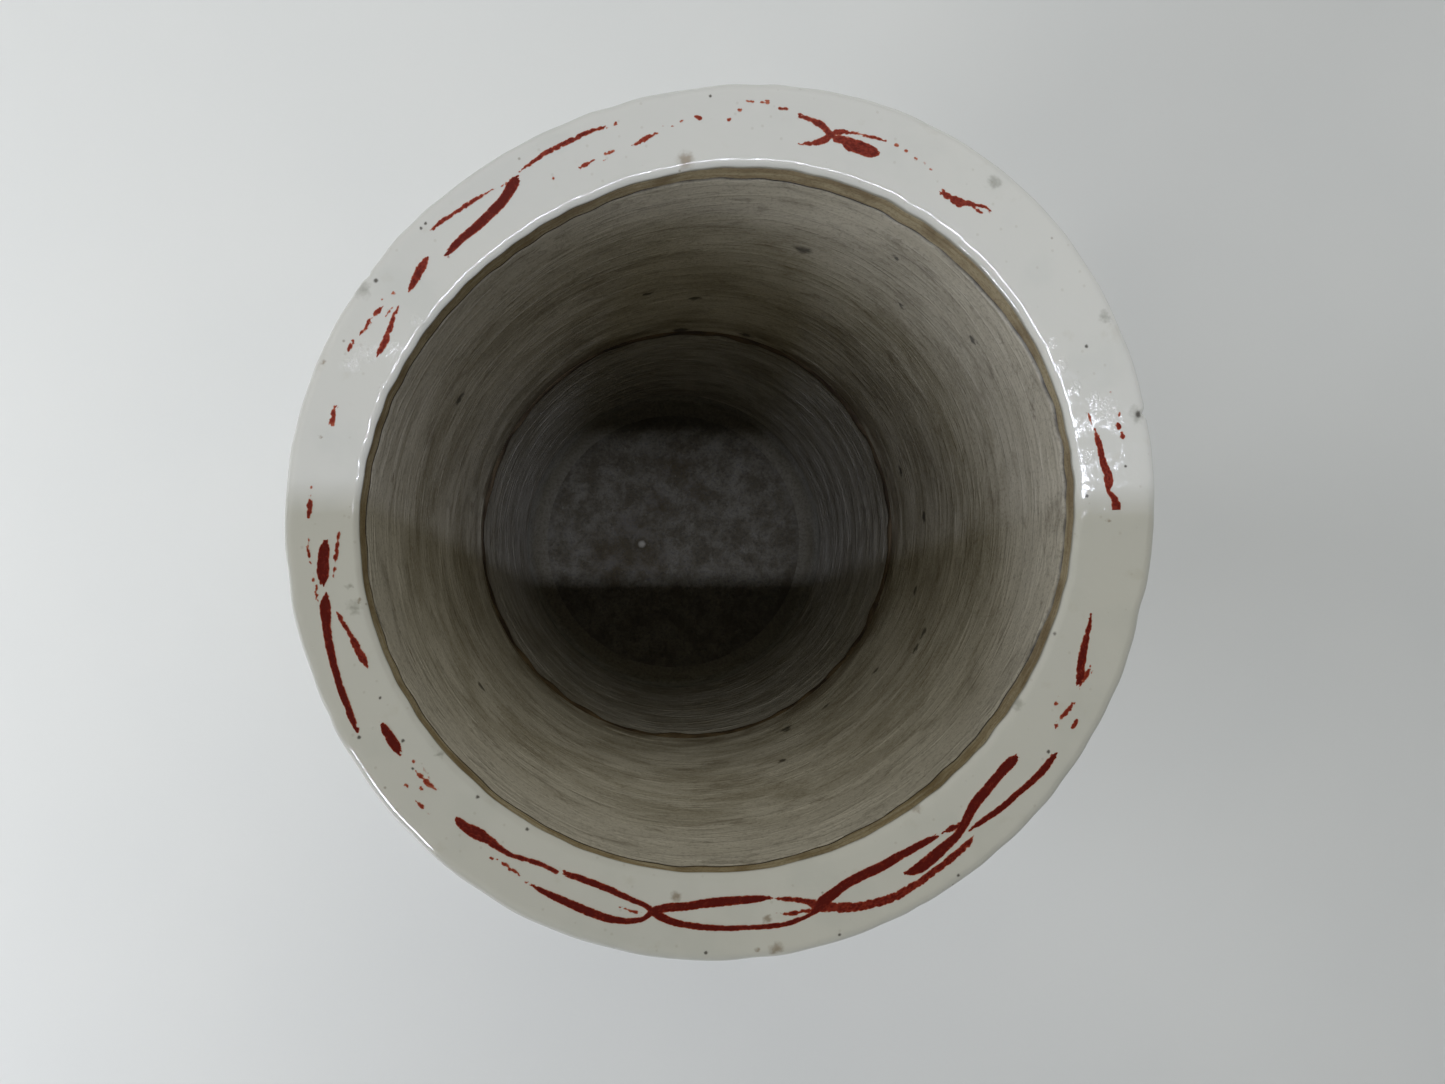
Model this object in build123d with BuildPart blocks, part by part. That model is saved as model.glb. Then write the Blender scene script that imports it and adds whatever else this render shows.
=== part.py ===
from build123d import *
import math
import os

# A tall brush holder pot of glazed stoneware, in millimetres.
# The origin is the centre of the ring that the pot stands on, and +Z is up.
#
# The pot is built the way a potter builds it. A foot ring is luted under a base disc, a lower and
# an upper thrown section stand on it one above the other, and a flat rim ring closes the top.
# Slip joins each piece to the next, and a coil of clay is pressed into the corner at the floor.
# One coat of glaze runs from the mouth over the rim and down to the foot, a second one covers the
# underside of the base, and a border of iron-red brush strokes is painted on the flat of the rim.

# ---- Overall sizes ----
pot_height = 228.0             # from the table to the glazed top of the rim
body_diameter = 118.0          # bare clay of the straight outer wall
lip_overhang = 2.6             # how far the rim's clay stands out past the wall
seam_height = 117.3            # middle of the joint between the two thrown sections

# ---- Thickness of the clay wall ----
wall_at_mouth = 8.6
wall_at_seam = 9.8
wall_at_floor = 10.8

# ---- Rim ----
shoulder_radius = 1.4          # rounding of the clay at the mouth
lip_radius = 1.6               # rounding of the clay at the outer edge
lip_face_height = 1.0          # upright face of the lip, below that rounding
glaze_reach = 0.3              # how far the glaze runs down the mouth, below the shoulder

# ---- Base and foot ----
foot_ring_height = 4.5
foot_face_width = 5.2          # flat face that the pot stands on
foot_bevel_width = 1.5         # the foot's outer bevel, across
foot_bevel_height = 2.5        # and up, to the edge of the glaze
foot_draft = 0.8               # the foot's inner side leans out by this much
base_thickness = 8.3
corner_coil_width = 5.8        # the cove where the wall meets the floor, across
corner_coil_height = 8.5       # and up

# ---- Slip, glaze and enamel ----
slip_thickness = 0.5
seam_bead_proud = 0.9          # slip squeezed out inside at the middle joint
seam_bead_height = 3.2
glaze_thickness = 0.4
base_glaze_margin = 1.0        # clay left bare between the base's glaze and the foot ring
enamel_thickness = 0.15

# ---- Radii and heights worked out from these ----
body_radius = body_diameter / 2
rim_radius = body_radius + lip_overhang
mouth_radius = body_radius - wall_at_mouth
seam_radius = body_radius - wall_at_seam
floor_radius = body_radius - wall_at_floor

clay_top = pot_height - glaze_thickness
lip_top = clay_top - lip_radius
hollow_top = lip_top - lip_face_height
rim_joint_top = hollow_top - lip_overhang
rim_joint_bottom = rim_joint_top - slip_thickness
seam_bottom = seam_height - slip_thickness / 2
seam_top = seam_height + slip_thickness / 2
base_bottom = foot_ring_height + slip_thickness
floor_height = base_bottom + base_thickness
wall_bottom = floor_height + slip_thickness
coil_top = floor_height + corner_coil_height

foot_outer_radius = body_radius - foot_bevel_width
foot_inner_radius = foot_outer_radius - foot_face_width
foot_root_radius = foot_inner_radius - foot_draft


def bore_radius(height):
    """Inner radius of the pot at a height: one taper below the seam, another above it."""
    if height <= seam_height:
        share = (height - floor_height) / (seam_height - floor_height)
        return floor_radius + share * (seam_radius - floor_radius)
    share = (height - seam_height) / (rim_joint_top - seam_height)
    return seam_radius + share * (mouth_radius - seam_radius)


def on_bore(height):
    """The point of the inner wall at a height, in a radius and height profile."""
    return (bore_radius(height), height)


# ---- Foot ring: a low ring, bevelled outside, that the pot stands on ----
with BuildPart() as foot_ring:
    with BuildSketch(Plane.XZ):
        with BuildLine():
            Polyline(
                (foot_inner_radius, 0),
                (foot_outer_radius, 0),
                (body_radius, foot_bevel_height),
                (body_radius, foot_ring_height),
                (foot_root_radius, foot_ring_height),
                close=True,
            )
        make_face()
    revolve(axis=Axis.Z)

# ---- Slip between the foot ring and the base ----
with BuildPart() as foot_slip_joint:
    with BuildSketch(Plane.XY.offset(foot_ring_height)):
        Circle(body_radius)
        Circle(foot_root_radius, mode=Mode.SUBTRACT)
    extrude(amount=slip_thickness)

# ---- Base disc: the pot's floor ----
with BuildPart() as base_disc:
    with BuildSketch(Plane.XY.offset(base_bottom)):
        Circle(body_radius)
    extrude(amount=base_thickness)

# ---- Slip between the base disc and the wall that stands on it ----
with BuildPart() as base_slip_joint:
    with BuildSketch(Plane.XZ):
        with BuildLine():
            Polyline(
                on_bore(floor_height),
                (body_radius, floor_height),
                (body_radius, wall_bottom),
                on_bore(wall_bottom),
                close=True,
            )
        make_face()
    revolve(axis=Axis.Z)

# ---- Corner coil: clay pressed into the corner and smoothed to a hollow cove ----
with BuildPart() as corner_coil:
    cove_edge = (floor_radius - corner_coil_width, floor_height)
    with BuildSketch(Plane.XZ):
        with BuildLine():
            Polyline(cove_edge, on_bore(floor_height), on_bore(coil_top))
            Bezier(on_bore(coil_top), on_bore(floor_height), cove_edge)
        make_face()
    revolve(axis=Axis.Z)

# ---- Lower thrown section ----
with BuildPart() as lower_wall:
    with BuildSketch(Plane.XZ):
        with BuildLine():
            Polyline(
                on_bore(wall_bottom),
                (body_radius, wall_bottom),
                (body_radius, seam_bottom),
                on_bore(seam_bottom),
                close=True,
            )
        make_face()
    revolve(axis=Axis.Z)

# ---- Middle slip joint: a thin layer with a bead squeezed out on the inside ----
with BuildPart() as middle_slip_joint:
    bead_bottom = seam_height - seam_bead_height / 2
    bead_top = seam_height + seam_bead_height / 2
    with BuildSketch(Plane.XZ):
        with BuildLine():
            Line(on_bore(seam_bottom), (body_radius, seam_bottom))
            Line((body_radius, seam_bottom), (body_radius, seam_top))
            Line((body_radius, seam_top), on_bore(seam_top))
            Line(on_bore(seam_top), on_bore(bead_top))
            ThreePointArc(
                on_bore(bead_top),
                (seam_radius - seam_bead_proud, seam_height),
                on_bore(bead_bottom),
            )
            Line(on_bore(bead_bottom), on_bore(seam_bottom))
        make_face()
    revolve(axis=Axis.Z)

# ---- Upper thrown section ----
with BuildPart() as upper_wall:
    with BuildSketch(Plane.XZ):
        with BuildLine():
            Polyline(
                on_bore(seam_top),
                (body_radius, seam_top),
                (body_radius, rim_joint_bottom),
                on_bore(rim_joint_bottom),
                close=True,
            )
        make_face()
    revolve(axis=Axis.Z)

# ---- Slip between the upper section and the rim ring ----
with BuildPart() as rim_slip_joint:
    with BuildSketch(Plane.XZ):
        with BuildLine():
            Polyline(
                on_bore(rim_joint_bottom),
                (body_radius, rim_joint_bottom),
                (body_radius, rim_joint_top),
                on_bore(rim_joint_top),
                close=True,
            )
        make_face()
    revolve(axis=Axis.Z)


def draw_lip():
    """The clay's glazed surface from the top of the wall, round the lip and the rim, into the mouth."""
    shoulder_bottom = clay_top - shoulder_radius
    with BuildLine(mode=Mode.PRIVATE) as lip:
        RadiusArc((body_radius, rim_joint_top), (rim_radius, hollow_top), lip_overhang)
        Line((rim_radius, hollow_top), (rim_radius, lip_top))
        RadiusArc((rim_radius, lip_top), (rim_radius - lip_radius, clay_top), -lip_radius)
        Line((rim_radius - lip_radius, clay_top), (mouth_radius + shoulder_radius, clay_top))
        RadiusArc(
            (mouth_radius + shoulder_radius, clay_top),
            (mouth_radius, shoulder_bottom),
            -shoulder_radius,
        )
        Line((mouth_radius, shoulder_bottom), (mouth_radius, shoulder_bottom - glaze_reach))
    return lip.line


# ---- Rim ring: the broad flat rim, with a hollow moulding under its lip ----
# Its bore stays bare below the glaze that comes round the shoulder.
with BuildPart() as rim_ring:
    with BuildSketch(Plane.XZ):
        with BuildLine():
            add(draw_lip())
            Polyline(
                (mouth_radius, clay_top - shoulder_radius - glaze_reach),
                (mouth_radius, rim_joint_top),
                (body_radius, rim_joint_top),
            )
        make_face()
    revolve(axis=Axis.Z)

# ---- Outer glaze: one even coat from inside the mouth to just above the foot ----
with BuildPart() as outer_glaze:
    with BuildSketch(Plane.XZ):
        with BuildLine():
            Line((body_radius, foot_bevel_height), (body_radius, rim_joint_top))
            add(draw_lip())
            offset(amount=glaze_thickness, side=Side.RIGHT)
        make_face()
    revolve(axis=Axis.Z)

# ---- Base glaze: a thin disc of glaze inside the foot ring ----
with BuildPart() as base_glaze:
    with BuildSketch(Plane.XY.offset(base_bottom - glaze_thickness)):
        Circle(foot_root_radius - base_glaze_margin)
    extrude(amount=glaze_thickness)

# ---- Rim enamel: the painted border ----
# Each stroke runs along the rim as (angle in degrees, radius, width) from one end to the other,
# drawn for a rim whose flat reaches from drawn_inner to drawn_outer, and spread over this rim's flat.
drawn_inner = 51.8
drawn_outer = 60.0
flat_inner = mouth_radius + shoulder_radius
flat_outer = rim_radius - lip_radius

front_loops = [
    [(324.2, 58.3, 0.8), (321.5, 58.3, 1.0), (319, 57.9, 0.9), (315, 57.5, 0.8), (311, 57.1, 0.7),
     (307.2, 56.6, 0.3)],
    [(320.8, 54.0, 0.6), (319, 53.8, 1.3), (315, 53.9, 1.3), (311, 54.2, 1.4), (308, 55.1, 1.3),
     (305.5, 56.1, 1.1), (302, 56.5, 1.5), (299, 56.9, 1.5), (297, 56.8, 1.0), (295.8, 56.6, 0.3)],
    [(307.4, 57.6, 0.4), (306, 58.0, 0.9), (302, 58.4, 1.0), (297, 58.7, 0.9), (293, 58.8, 1.1),
     (289, 58.2, 1.2), (285.5, 57.3, 1.3), (283, 56.4, 1.4), (281.3, 55.3, 0.7), (279, 54.4, 0.6),
     (276.5, 53.8, 0.3)],
    [(306.8, 55.1, 0.6), (303, 54.5, 0.8), (298, 54.1, 1.0), (293, 54.1, 1.3), (288, 54.3, 1.3),
     (285, 55.2, 1.4), (282.8, 56.2, 1.4), (281, 57.1, 0.6), (277, 57.5, 0.6), (272, 57.5, 0.6),
     (266, 57.1, 0.8), (261.5, 56.5, 0.9), (259, 55.7, 1.0), (257, 54.9, 0.7), (252.5, 53.9, 0.8),
     (248, 53.5, 0.8), (244.3, 53.6, 0.7)],
    [(275.9, 53.6, 0.4), (274, 53.5, 0.9), (270, 53.5, 1.1), (265, 54.0, 1.1), (260.5, 54.7, 1.1),
     (258.4, 55.6, 0.9), (256.8, 57.0, 0.6), (253.5, 57.6, 0.9), (249, 57.4, 1.1), (245, 57.1, 0.9),
     (241, 56.9, 0.3)],
    [(281.5, 56.6, 0.5), (279, 56.4, 0.5), (276.4, 56.0, 0.3)],
    [(257.2, 56.0, 0.3), (255.5, 55.9, 0.4), (253.8, 55.8, 0.3)],
    [(243.4, 53.8, 0.7), (240.5, 53.9, 0.6), (237, 54.6, 0.6), (234.5, 54.8, 0.8), (232, 54.8, 1.3),
     (230, 55.0, 1.4), (228, 55.2, 0.9), (227.1, 55.2, 0.3)],
    [(239.2, 56.5, 0.3), (237.3, 56.3, 0.5), (235.3, 56.2, 0.4)],
]
left_strokes = [
    [(222.6, 54.3, 0.5), (220.5, 54.5, 0.7), (218.3, 54.7, 0.3)],
    [(224.4, 57.2, 0.2), (222.8, 57.3, 0.4), (221.2, 57.2, 0.2)],
    [(215.4, 55.0, 0.5), (213.8, 54.9, 1.2), (211.6, 54.8, 1.0), (210, 54.9, 0.4)],
    [(209.4, 58.1, 0.7), (205, 57.8, 0.9), (200, 57.5, 0.9), (195.5, 57.0, 1.1), (192.3, 56.4, 1.2),
     (190.6, 56.0, 0.5)],
    [(202.4, 53.2, 0.4), (200.8, 53.5, 0.9), (198, 54.0, 0.9), (195.5, 54.5, 0.5),
     (193, 55.3, 0.3)],
    [(189.3, 56.3, 0.7), (187.6, 56.3, 1.4), (185, 55.9, 1.3), (183, 55.5, 0.4)],
    [(191.3, 57.3, 0.4), (190.2, 57.4, 0.5), (189.3, 57.3, 0.4)],
    [(186.6, 57.8, 0.2), (184.5, 57.9, 0.4), (182.3, 57.9, 0.3)],
    [(189.3, 55.1, 0.3), (185, 54.3, 0.4), (181.2, 53.6, 0.2)],
    [(180.2, 57.9, 0.3), (178.6, 57.8, 0.7), (176.9, 57.9, 0.3)],
]
back_strokes = [
    [(167, 56.7, 0.8), (165.8, 56.8, 0.9), (164.3, 56.9, 0.5)],
    [(157, 58.1, 0.4), (156, 58.2, 0.6), (155.2, 58.1, 0.5)],
    [(153.9, 57.7, 0.5), (152.6, 57.4, 0.6), (150.5, 57.3, 0.7), (149, 57.0, 0.6)],
    [(155.6, 54.3, 0.5), (152.5, 54.4, 0.8), (149.5, 55.0, 0.5), (147, 55.3, 0.3), (144, 55.5, 0.8),
     (142, 55.9, 1.1), (139.2, 56.2, 0.5)],
    [(137.5, 54.6, 0.7), (133, 54.7, 1.0), (129, 54.8, 1.2), (126, 55.3, 1.3), (124, 56.0, 1.4),
     (122.3, 56.9, 0.7)],
    [(136.5, 58.4, 0.3), (132.5, 58.1, 0.5), (128.5, 57.6, 0.5), (125.9, 57.4, 0.2)],
    [(121.7, 57.4, 0.2), (118.5, 57.8, 0.6), (113, 58.1, 0.6), (107.7, 58.1, 0.5)],
    [(113.9, 54.2, 0.4), (112.5, 54.3, 0.5), (111.2, 54.3, 0.3)],
    [(105.1, 54.6, 0.5), (103, 55.1, 0.6), (100.8, 55.6, 0.3)],
    [(80.5, 57.7, 0.7), (78.5, 57.3, 0.8), (76.3, 56.4, 0.9), (74.5, 55.7, 1.1), (72, 55.4, 2.0),
     (70, 55.4, 1.7), (68.2, 55.5, 0.8)],
    [(79.9, 53.6, 0.4), (77.8, 54.2, 0.7), (76, 55.3, 0.9), (74.8, 56.5, 0.9), (72.5, 57.1, 0.5),
     (67.5, 57.6, 0.3)],
]
right_strokes = [
    [(57.2, 54.8, 1.1), (55.5, 55.0, 0.9), (54, 55.3, 1.2), (52.3, 56.2, 0.6), (50.1, 57.0, 0.6)],
    [(13.9, 53.7, 0.6), (11.5, 53.9, 0.9), (8.5, 54.3, 0.9), (6.3, 54.6, 1.2), (4.3, 54.7, 0.7),
     (2.6, 55.5, 1.2), (1.2, 55.7, 1.2)],
    [(345.2, 54.1, 0.4), (342, 54.5, 0.8), (339, 54.8, 1.1), (336.5, 55.4, 1.1),
     (334.6, 56.0, 0.8)],
    [(332.4, 54.4, 0.3), (331, 54.4, 0.5), (330, 54.3, 0.3)],
]
# Single touches of the brush, as (angle in degrees, radius, diameter).
touches = [
    (331.8, 56.4, 0.8), (330.2, 56.4, 0.8), (327.4, 56.1, 0.7), (329.2, 58.3, 0.7),
    (15.1, 57.8, 0.6), (13.6, 57.3, 0.8), (12.2, 57.6, 0.7), (94.9, 56.9, 0.8),
    (83.2, 58.3, 0.4), (109.8, 53.8, 0.5), (175.9, 57.8, 0.4),
]


def on_rim(angle, drawn_radius):
    """A point of the rim's flat, at an angle and a drawn radius."""
    share = (drawn_radius - drawn_inner) / (drawn_outer - drawn_inner)
    radius = flat_inner + share * (flat_outer - flat_inner)
    turn = math.radians(angle)
    return (radius * math.cos(turn), radius * math.sin(turn))


with BuildPart() as rim_enamel:
    with BuildSketch(Plane.XY.offset(pot_height)):
        for stations in front_loops + left_strokes + back_strokes + right_strokes:
            outer_side = [on_rim(angle, radius + width / 2) for angle, radius, width in stations]
            inner_side = [on_rim(angle, radius - width / 2) for angle, radius, width in stations]
            with BuildLine():
                Spline(*outer_side)
                Line(outer_side[-1], inner_side[-1])
                Spline(*reversed(inner_side))
                Line(inner_side[0], outer_side[0])
            make_face()
        for angle, radius, diameter in touches:
            with Locations(on_rim(angle, radius)):
                Circle(diameter / 2)
    extrude(amount=enamel_thickness)

# ---- One STEP file for each piece, named as the piece is ----
pieces = {
    "foot_ring": foot_ring,
    "foot_slip_joint": foot_slip_joint,
    "base_disc": base_disc,
    "base_slip_joint": base_slip_joint,
    "corner_coil": corner_coil,
    "lower_wall": lower_wall,
    "middle_slip_joint": middle_slip_joint,
    "upper_wall": upper_wall,
    "rim_slip_joint": rim_slip_joint,
    "rim_ring": rim_ring,
    "outer_glaze": outer_glaze,
    "base_glaze": base_glaze,
    "rim_enamel": rim_enamel,
}
os.makedirs("parts", exist_ok=True)
for name, piece in pieces.items():
    piece.part.label = name
    export_step(piece.part, f"parts/{name}.step")
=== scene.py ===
import math

import bpy
import numpy as np
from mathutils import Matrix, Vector


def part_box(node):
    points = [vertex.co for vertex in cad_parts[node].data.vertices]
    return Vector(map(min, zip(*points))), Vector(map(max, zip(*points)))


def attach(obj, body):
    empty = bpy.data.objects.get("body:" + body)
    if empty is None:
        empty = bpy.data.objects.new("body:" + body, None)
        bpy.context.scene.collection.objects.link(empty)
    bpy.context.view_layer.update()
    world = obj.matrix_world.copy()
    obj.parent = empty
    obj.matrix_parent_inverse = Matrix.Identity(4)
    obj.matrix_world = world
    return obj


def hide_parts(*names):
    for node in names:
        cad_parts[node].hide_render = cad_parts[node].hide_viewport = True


# A tall brush holder pot, looked at from straight above. Its CAD pieces give every size. This
# script turns them again as the uneven, hand-made, worn things that they are, and gives them glaze,
# bare clay, slip and iron-red enamel. Shapes are worked out in millimetres and made in metres.

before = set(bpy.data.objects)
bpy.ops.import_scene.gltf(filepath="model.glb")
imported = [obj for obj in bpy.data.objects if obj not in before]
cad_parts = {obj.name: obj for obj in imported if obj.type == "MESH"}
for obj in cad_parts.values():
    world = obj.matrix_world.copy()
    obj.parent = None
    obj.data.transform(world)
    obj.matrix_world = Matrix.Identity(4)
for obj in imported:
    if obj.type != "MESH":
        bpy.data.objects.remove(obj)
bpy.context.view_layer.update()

MM = 0.001
FULL_TURN = 2 * math.pi


# ---- Sizes, read from the CAD pieces ----


def rings_of(node):
    """The radius and the height of every corner of a CAD piece."""
    corners = np.array([corner.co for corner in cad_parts[node].data.vertices]) / MM
    return np.hypot(corners[:, 0], corners[:, 1]), corners[:, 2]


def radii_at(node, height):
    """The least and the greatest radius of a CAD piece at one of its edges' heights."""
    radius, z = rings_of(node)
    there = radius[np.abs(z - height) < 0.05]
    return there.min(), there.max()


def heights_of(node):
    """The lowest and the highest point of a CAD piece."""
    low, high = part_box(node)
    return low.z / MM, high.z / MM


GLAZE_BOTTOM, POT_HEIGHT = heights_of("outer_glaze")
RIM_JOINT_TOP, CLAY_TOP = heights_of("rim_ring")
RIM_JOINT_BOTTOM = heights_of("rim_slip_joint")[0]
BEAD_BOTTOM, BEAD_TOP = heights_of("middle_slip_joint")
WALL_BOTTOM, SEAM_BOTTOM = heights_of("lower_wall")
SEAM_TOP = heights_of("upper_wall")[0]
BASE_BOTTOM, FLOOR_HEIGHT = heights_of("base_disc")
COIL_TOP = heights_of("corner_coil")[1]
BASE_GLAZE_BOTTOM = heights_of("base_glaze")[0]
FOOT_RING_TOP = heights_of("foot_ring")[1]

GLAZE_THICKNESS = POT_HEIGHT - CLAY_TOP
BODY_RADIUS = radii_at("upper_wall", SEAM_TOP)[1]
GLAZE_RADIUS = BODY_RADIUS + GLAZE_THICKNESS
FLAT_INNER, FLAT_OUTER = radii_at("rim_ring", CLAY_TOP)
MOUTH_RADIUS = radii_at("rim_ring", RIM_JOINT_TOP)[0]
RIM_RADIUS = rings_of("rim_ring")[0].max()
GLAZED_RIM_RADIUS = RIM_RADIUS + GLAZE_THICKNESS
SHOULDER_RADIUS = FLAT_INNER - MOUTH_RADIUS
LIP_RADIUS = RIM_RADIUS - FLAT_OUTER
COVE_RADIUS = RIM_RADIUS - BODY_RADIUS
LIP_TOP = CLAY_TOP - LIP_RADIUS
HOLLOW_TOP = RIM_JOINT_TOP + COVE_RADIUS
SHOULDER_BOTTOM = CLAY_TOP - SHOULDER_RADIUS
mouth_edge = rings_of("outer_glaze")
GLAZE_END = mouth_edge[1][mouth_edge[0] < MOUTH_RADIUS + 0.05].min()

SEAM_RADIUS = radii_at("upper_wall", SEAM_TOP)[0]
FLOOR_RADIUS = radii_at("lower_wall", WALL_BOTTOM)[0]
BEAD_RADIUS = rings_of("middle_slip_joint")[0].min()
COIL_EDGE = radii_at("corner_coil", FLOOR_HEIGHT)[0]
FOOT_INNER, FOOT_OUTER = radii_at("foot_ring", 0.0)
FOOT_ROOT = radii_at("foot_ring", FOOT_RING_TOP)[0]
BASE_GLAZE_RADIUS = rings_of("base_glaze")[0].max()


def bore(height):
    """Radius of the inner wall: one taper below the middle seam and another above it."""
    heights = [FLOOR_HEIGHT, SEAM_BOTTOM, RIM_JOINT_TOP]
    return np.interp(height, heights, [FLOOR_RADIUS, SEAM_RADIUS, MOUTH_RADIUS])


# ---- The hand-made shape: every piece is bent by the same field, so that what touches stays touching ----

# Waves round the mouth and round the lip: how many, how high, and the angle of a crest.
MOUTH_WAVES = ((1, 0.50, 161), (2, 1.20, 36), (3, 0.30, 53), (4, 0.13, -8))
LIP_WAVES = ((1, 0.70, 13), (2, 1.20, 49), (3, 0.50, 47), (4, 0.18, -28))
# Waves of the rim's height, and of its slope from the mouth to the lip.
RISE_WAVES = ((2, 0.10, 20), (3, 0.07, 75), (5, 0.05, 10), (7, 0.035, 30), (9, 0.025, 5))
SLOPE_WAVES = ((1, 0.10, 250), (3, 0.10, 20), (4, 0.08, 60), (7, 0.05, 12), (11, 0.03, 8))
# Knocks on the lip: angle, depth and half width.
LIP_KNOCKS = ((14.5, 0.55, 0.45), (347.0, 0.30, 2.6), (146.5, 0.25, 0.5), (296.0, 0.12, 1.0),
              (86.0, 0.10, 1.2), (206.0, 0.10, 0.8))
LEAN_POWER = 1.3
# The bare band above the rim's joint is uneven: angle and height. Where the joint has opened into a
# crack: angle, half width in degrees and depth.
BAND_HEIGHTS = ((5, 3.0), (20, 2.1), (30, 2.9), (45, 4.8), (75, 4.6), (90, 4.6), (105, 3.8), (125, 4.5),
                (140, 4.2), (155, 3.5), (180, 3.8), (215, 3.75), (245, 2.8), (260, 2.6), (275, 3.0),
                (300, 4.0), (330, 4.4), (340, 3.6), (346, 2.9))
TRUE_BAND = GLAZE_END - RIM_JOINT_TOP
JOINT_REACH = 2.4
CRACKS = ((10, 24, 0.50), (44, 14, 0.50), (96, 9, 0.50), (345, 9, 0.50))
JOINT_MIDDLE = (RIM_JOINT_BOTTOM + RIM_JOINT_TOP) / 2
GROOVE_REACH = 0.42


def waves(angle, terms):
    """A sum of waves round the pot."""
    return sum(size * np.cos(count * (angle - math.radians(crest))) for count, size, crest in terms)


def ripple(angle, lowest, highest, size, seed):
    """Fine unevenness round the pot, from random waves between two counts per turn."""
    draw = np.random.default_rng(seed)
    total = np.zeros_like(angle)
    for count in range(lowest, highest + 1):
        total += draw.normal() * np.cos(count * angle + draw.uniform(0, FULL_TURN))
    return size * total / math.sqrt((highest - lowest + 1) / 2)


def eased(share):
    """A share from 0 to 1, made to start and stop gently."""
    return share * share * (3 - 2 * share)


def degrees_from(angle, place):
    """How far an angle in radians is from a place in degrees, the short way round."""
    return (np.degrees(angle) - place + 180) % 360 - 180


def lattice(angle, height, columns, pitch, seed):
    """Smooth random values from -1 to 1 over a wall, with so many columns round it."""
    draw = np.random.default_rng(seed)
    rows = 4 + int((np.max(height) - np.min(height)) / pitch)
    values = draw.uniform(-1, 1, (rows, columns))
    across = (angle / FULL_TURN * columns) % columns
    up = (height - np.min(height)) / pitch
    column, row = np.floor(across).astype(int), np.floor(up).astype(int)
    s, t = eased(across - column), eased(up - row)
    left, right = column % columns, (column + 1) % columns
    low = values[row, left] * (1 - s) + values[row, right] * s
    high = values[row + 1, left] * (1 - s) + values[row + 1, right] * s
    return low * (1 - t) + high * t


def step(value, low, high):
    """0 below low, 1 above high, and smooth between them."""
    return eased(np.clip((value - low) / (high - low), 0, 1))


def throwing_rings(angle, height):
    """How far the inner wall stands outward at its throwing rings, left by the potter's fingers."""
    drift = height + 0.9 * np.cos(angle - 1.1) + 0.5 * np.cos(2 * angle + 0.4)
    broad = 0.20 * lattice(angle, drift, 4, 5.4, 11)
    fine = 0.13 * lattice(angle, drift, 6, 2.6, 12)
    lumps = 0.10 * lattice(angle, height, 14, 13.0, 13)
    ends = step(height, COIL_TOP - 4, COIL_TOP + 12)
    ends = ends * (1 - step(height, RIM_JOINT_BOTTOM - 7, RIM_JOINT_BOTTOM))
    calm = 1 - 0.55 * step(height, SEAM_TOP + 4, SEAM_TOP + 34)
    return ends * calm * (broad + fine + lumps)


def crack_depth(angle):
    """How far the rim's joint has opened at an angle: a little all round, more where it cracked."""
    depth = 0.10 + 0.06 * np.abs(ripple(angle, 6, 40, 1.0, 26))
    for place, width, size in CRACKS:
        depth = depth + size * np.exp(-((degrees_from(angle, place) / width) ** 2))
    return depth


def band_height(angle):
    """How high the bare band stands at an angle."""
    places, heights = zip(*BAND_HEIGHTS)
    return np.interp(np.degrees(angle), places, heights, period=360) + ripple(angle, 12, 60, 0.12, 25)


def warp(angle, radius, height):
    """Where a point of the true round pot lies on the real one, as rows of x, y and z."""
    lean = (np.clip(height, 0, None) / POT_HEIGHT) ** LEAN_POWER
    inside = bore(height) - GLAZE_THICKNESS * step(height, GLAZE_END - 1, GLAZE_END)
    outside = np.interp(height, [RIM_JOINT_TOP, HOLLOW_TOP], [GLAZE_RADIUS, GLAZED_RIM_RADIUS])
    across = np.clip((radius - inside) / (outside - inside), 0, 1)
    at_rim = step(height, RIM_JOINT_BOTTOM - 12, RIM_JOINT_BOTTOM)
    mouth = waves(angle, MOUTH_WAVES) + at_rim * ripple(angle, 18, 70, 0.05, 21)
    lip = waves(angle, LIP_WAVES) + at_rim * ripple(angle, 14, 60, 0.04, 22)
    for place, depth, width in LIP_KNOCKS:
        knock = depth * np.exp(-((degrees_from(angle, place) / width) ** 2))
        lip = lip - knock * step(height, HOLLOW_TOP - 1, LIP_TOP)
    shift = lean * ((1 - across) * mouth * np.clip(radius / inside, 0, 1) + across * lip)
    shift = shift + (1 - across) ** 3 * throwing_rings(angle, height) * (radius > 0.8 * inside)
    groove = np.exp(-(((height - JOINT_MIDDLE) / GROOVE_REACH) ** 2))
    shift = shift + (1 - across) ** 3 * groove * crack_depth(angle) * (radius > 0.8 * inside)
    top = step(height, RIM_JOINT_BOTTOM - 16, SHOULDER_BOTTOM)
    rise = waves(angle, RISE_WAVES) + (across - 0.5) * waves(angle, SLOPE_WAVES)
    rise = rise + ripple(angle, 20, 90, 0.018, 23) + (across - 0.5) * ripple(angle, 25, 80, 0.03, 24)
    joint = np.exp(-(((height - RIM_JOINT_TOP) / JOINT_REACH) ** 2)) * (1 - across) ** 2
    z = height + top * rise - joint * (band_height(angle) - TRUE_BAND)
    radius = radius + shift
    return np.stack([radius * np.cos(angle), radius * np.sin(angle), z], axis=-1)


# ---- Mesh making ----


def arc(centre, radius, start, end, steps):
    """Points of an arc in the profile plane, from one angle in degrees to another."""
    turns = np.radians(np.linspace(start, end, steps + 1))
    return [(centre[0] + radius * math.cos(t), centre[1] + radius * math.sin(t)) for t in turns]


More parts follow.
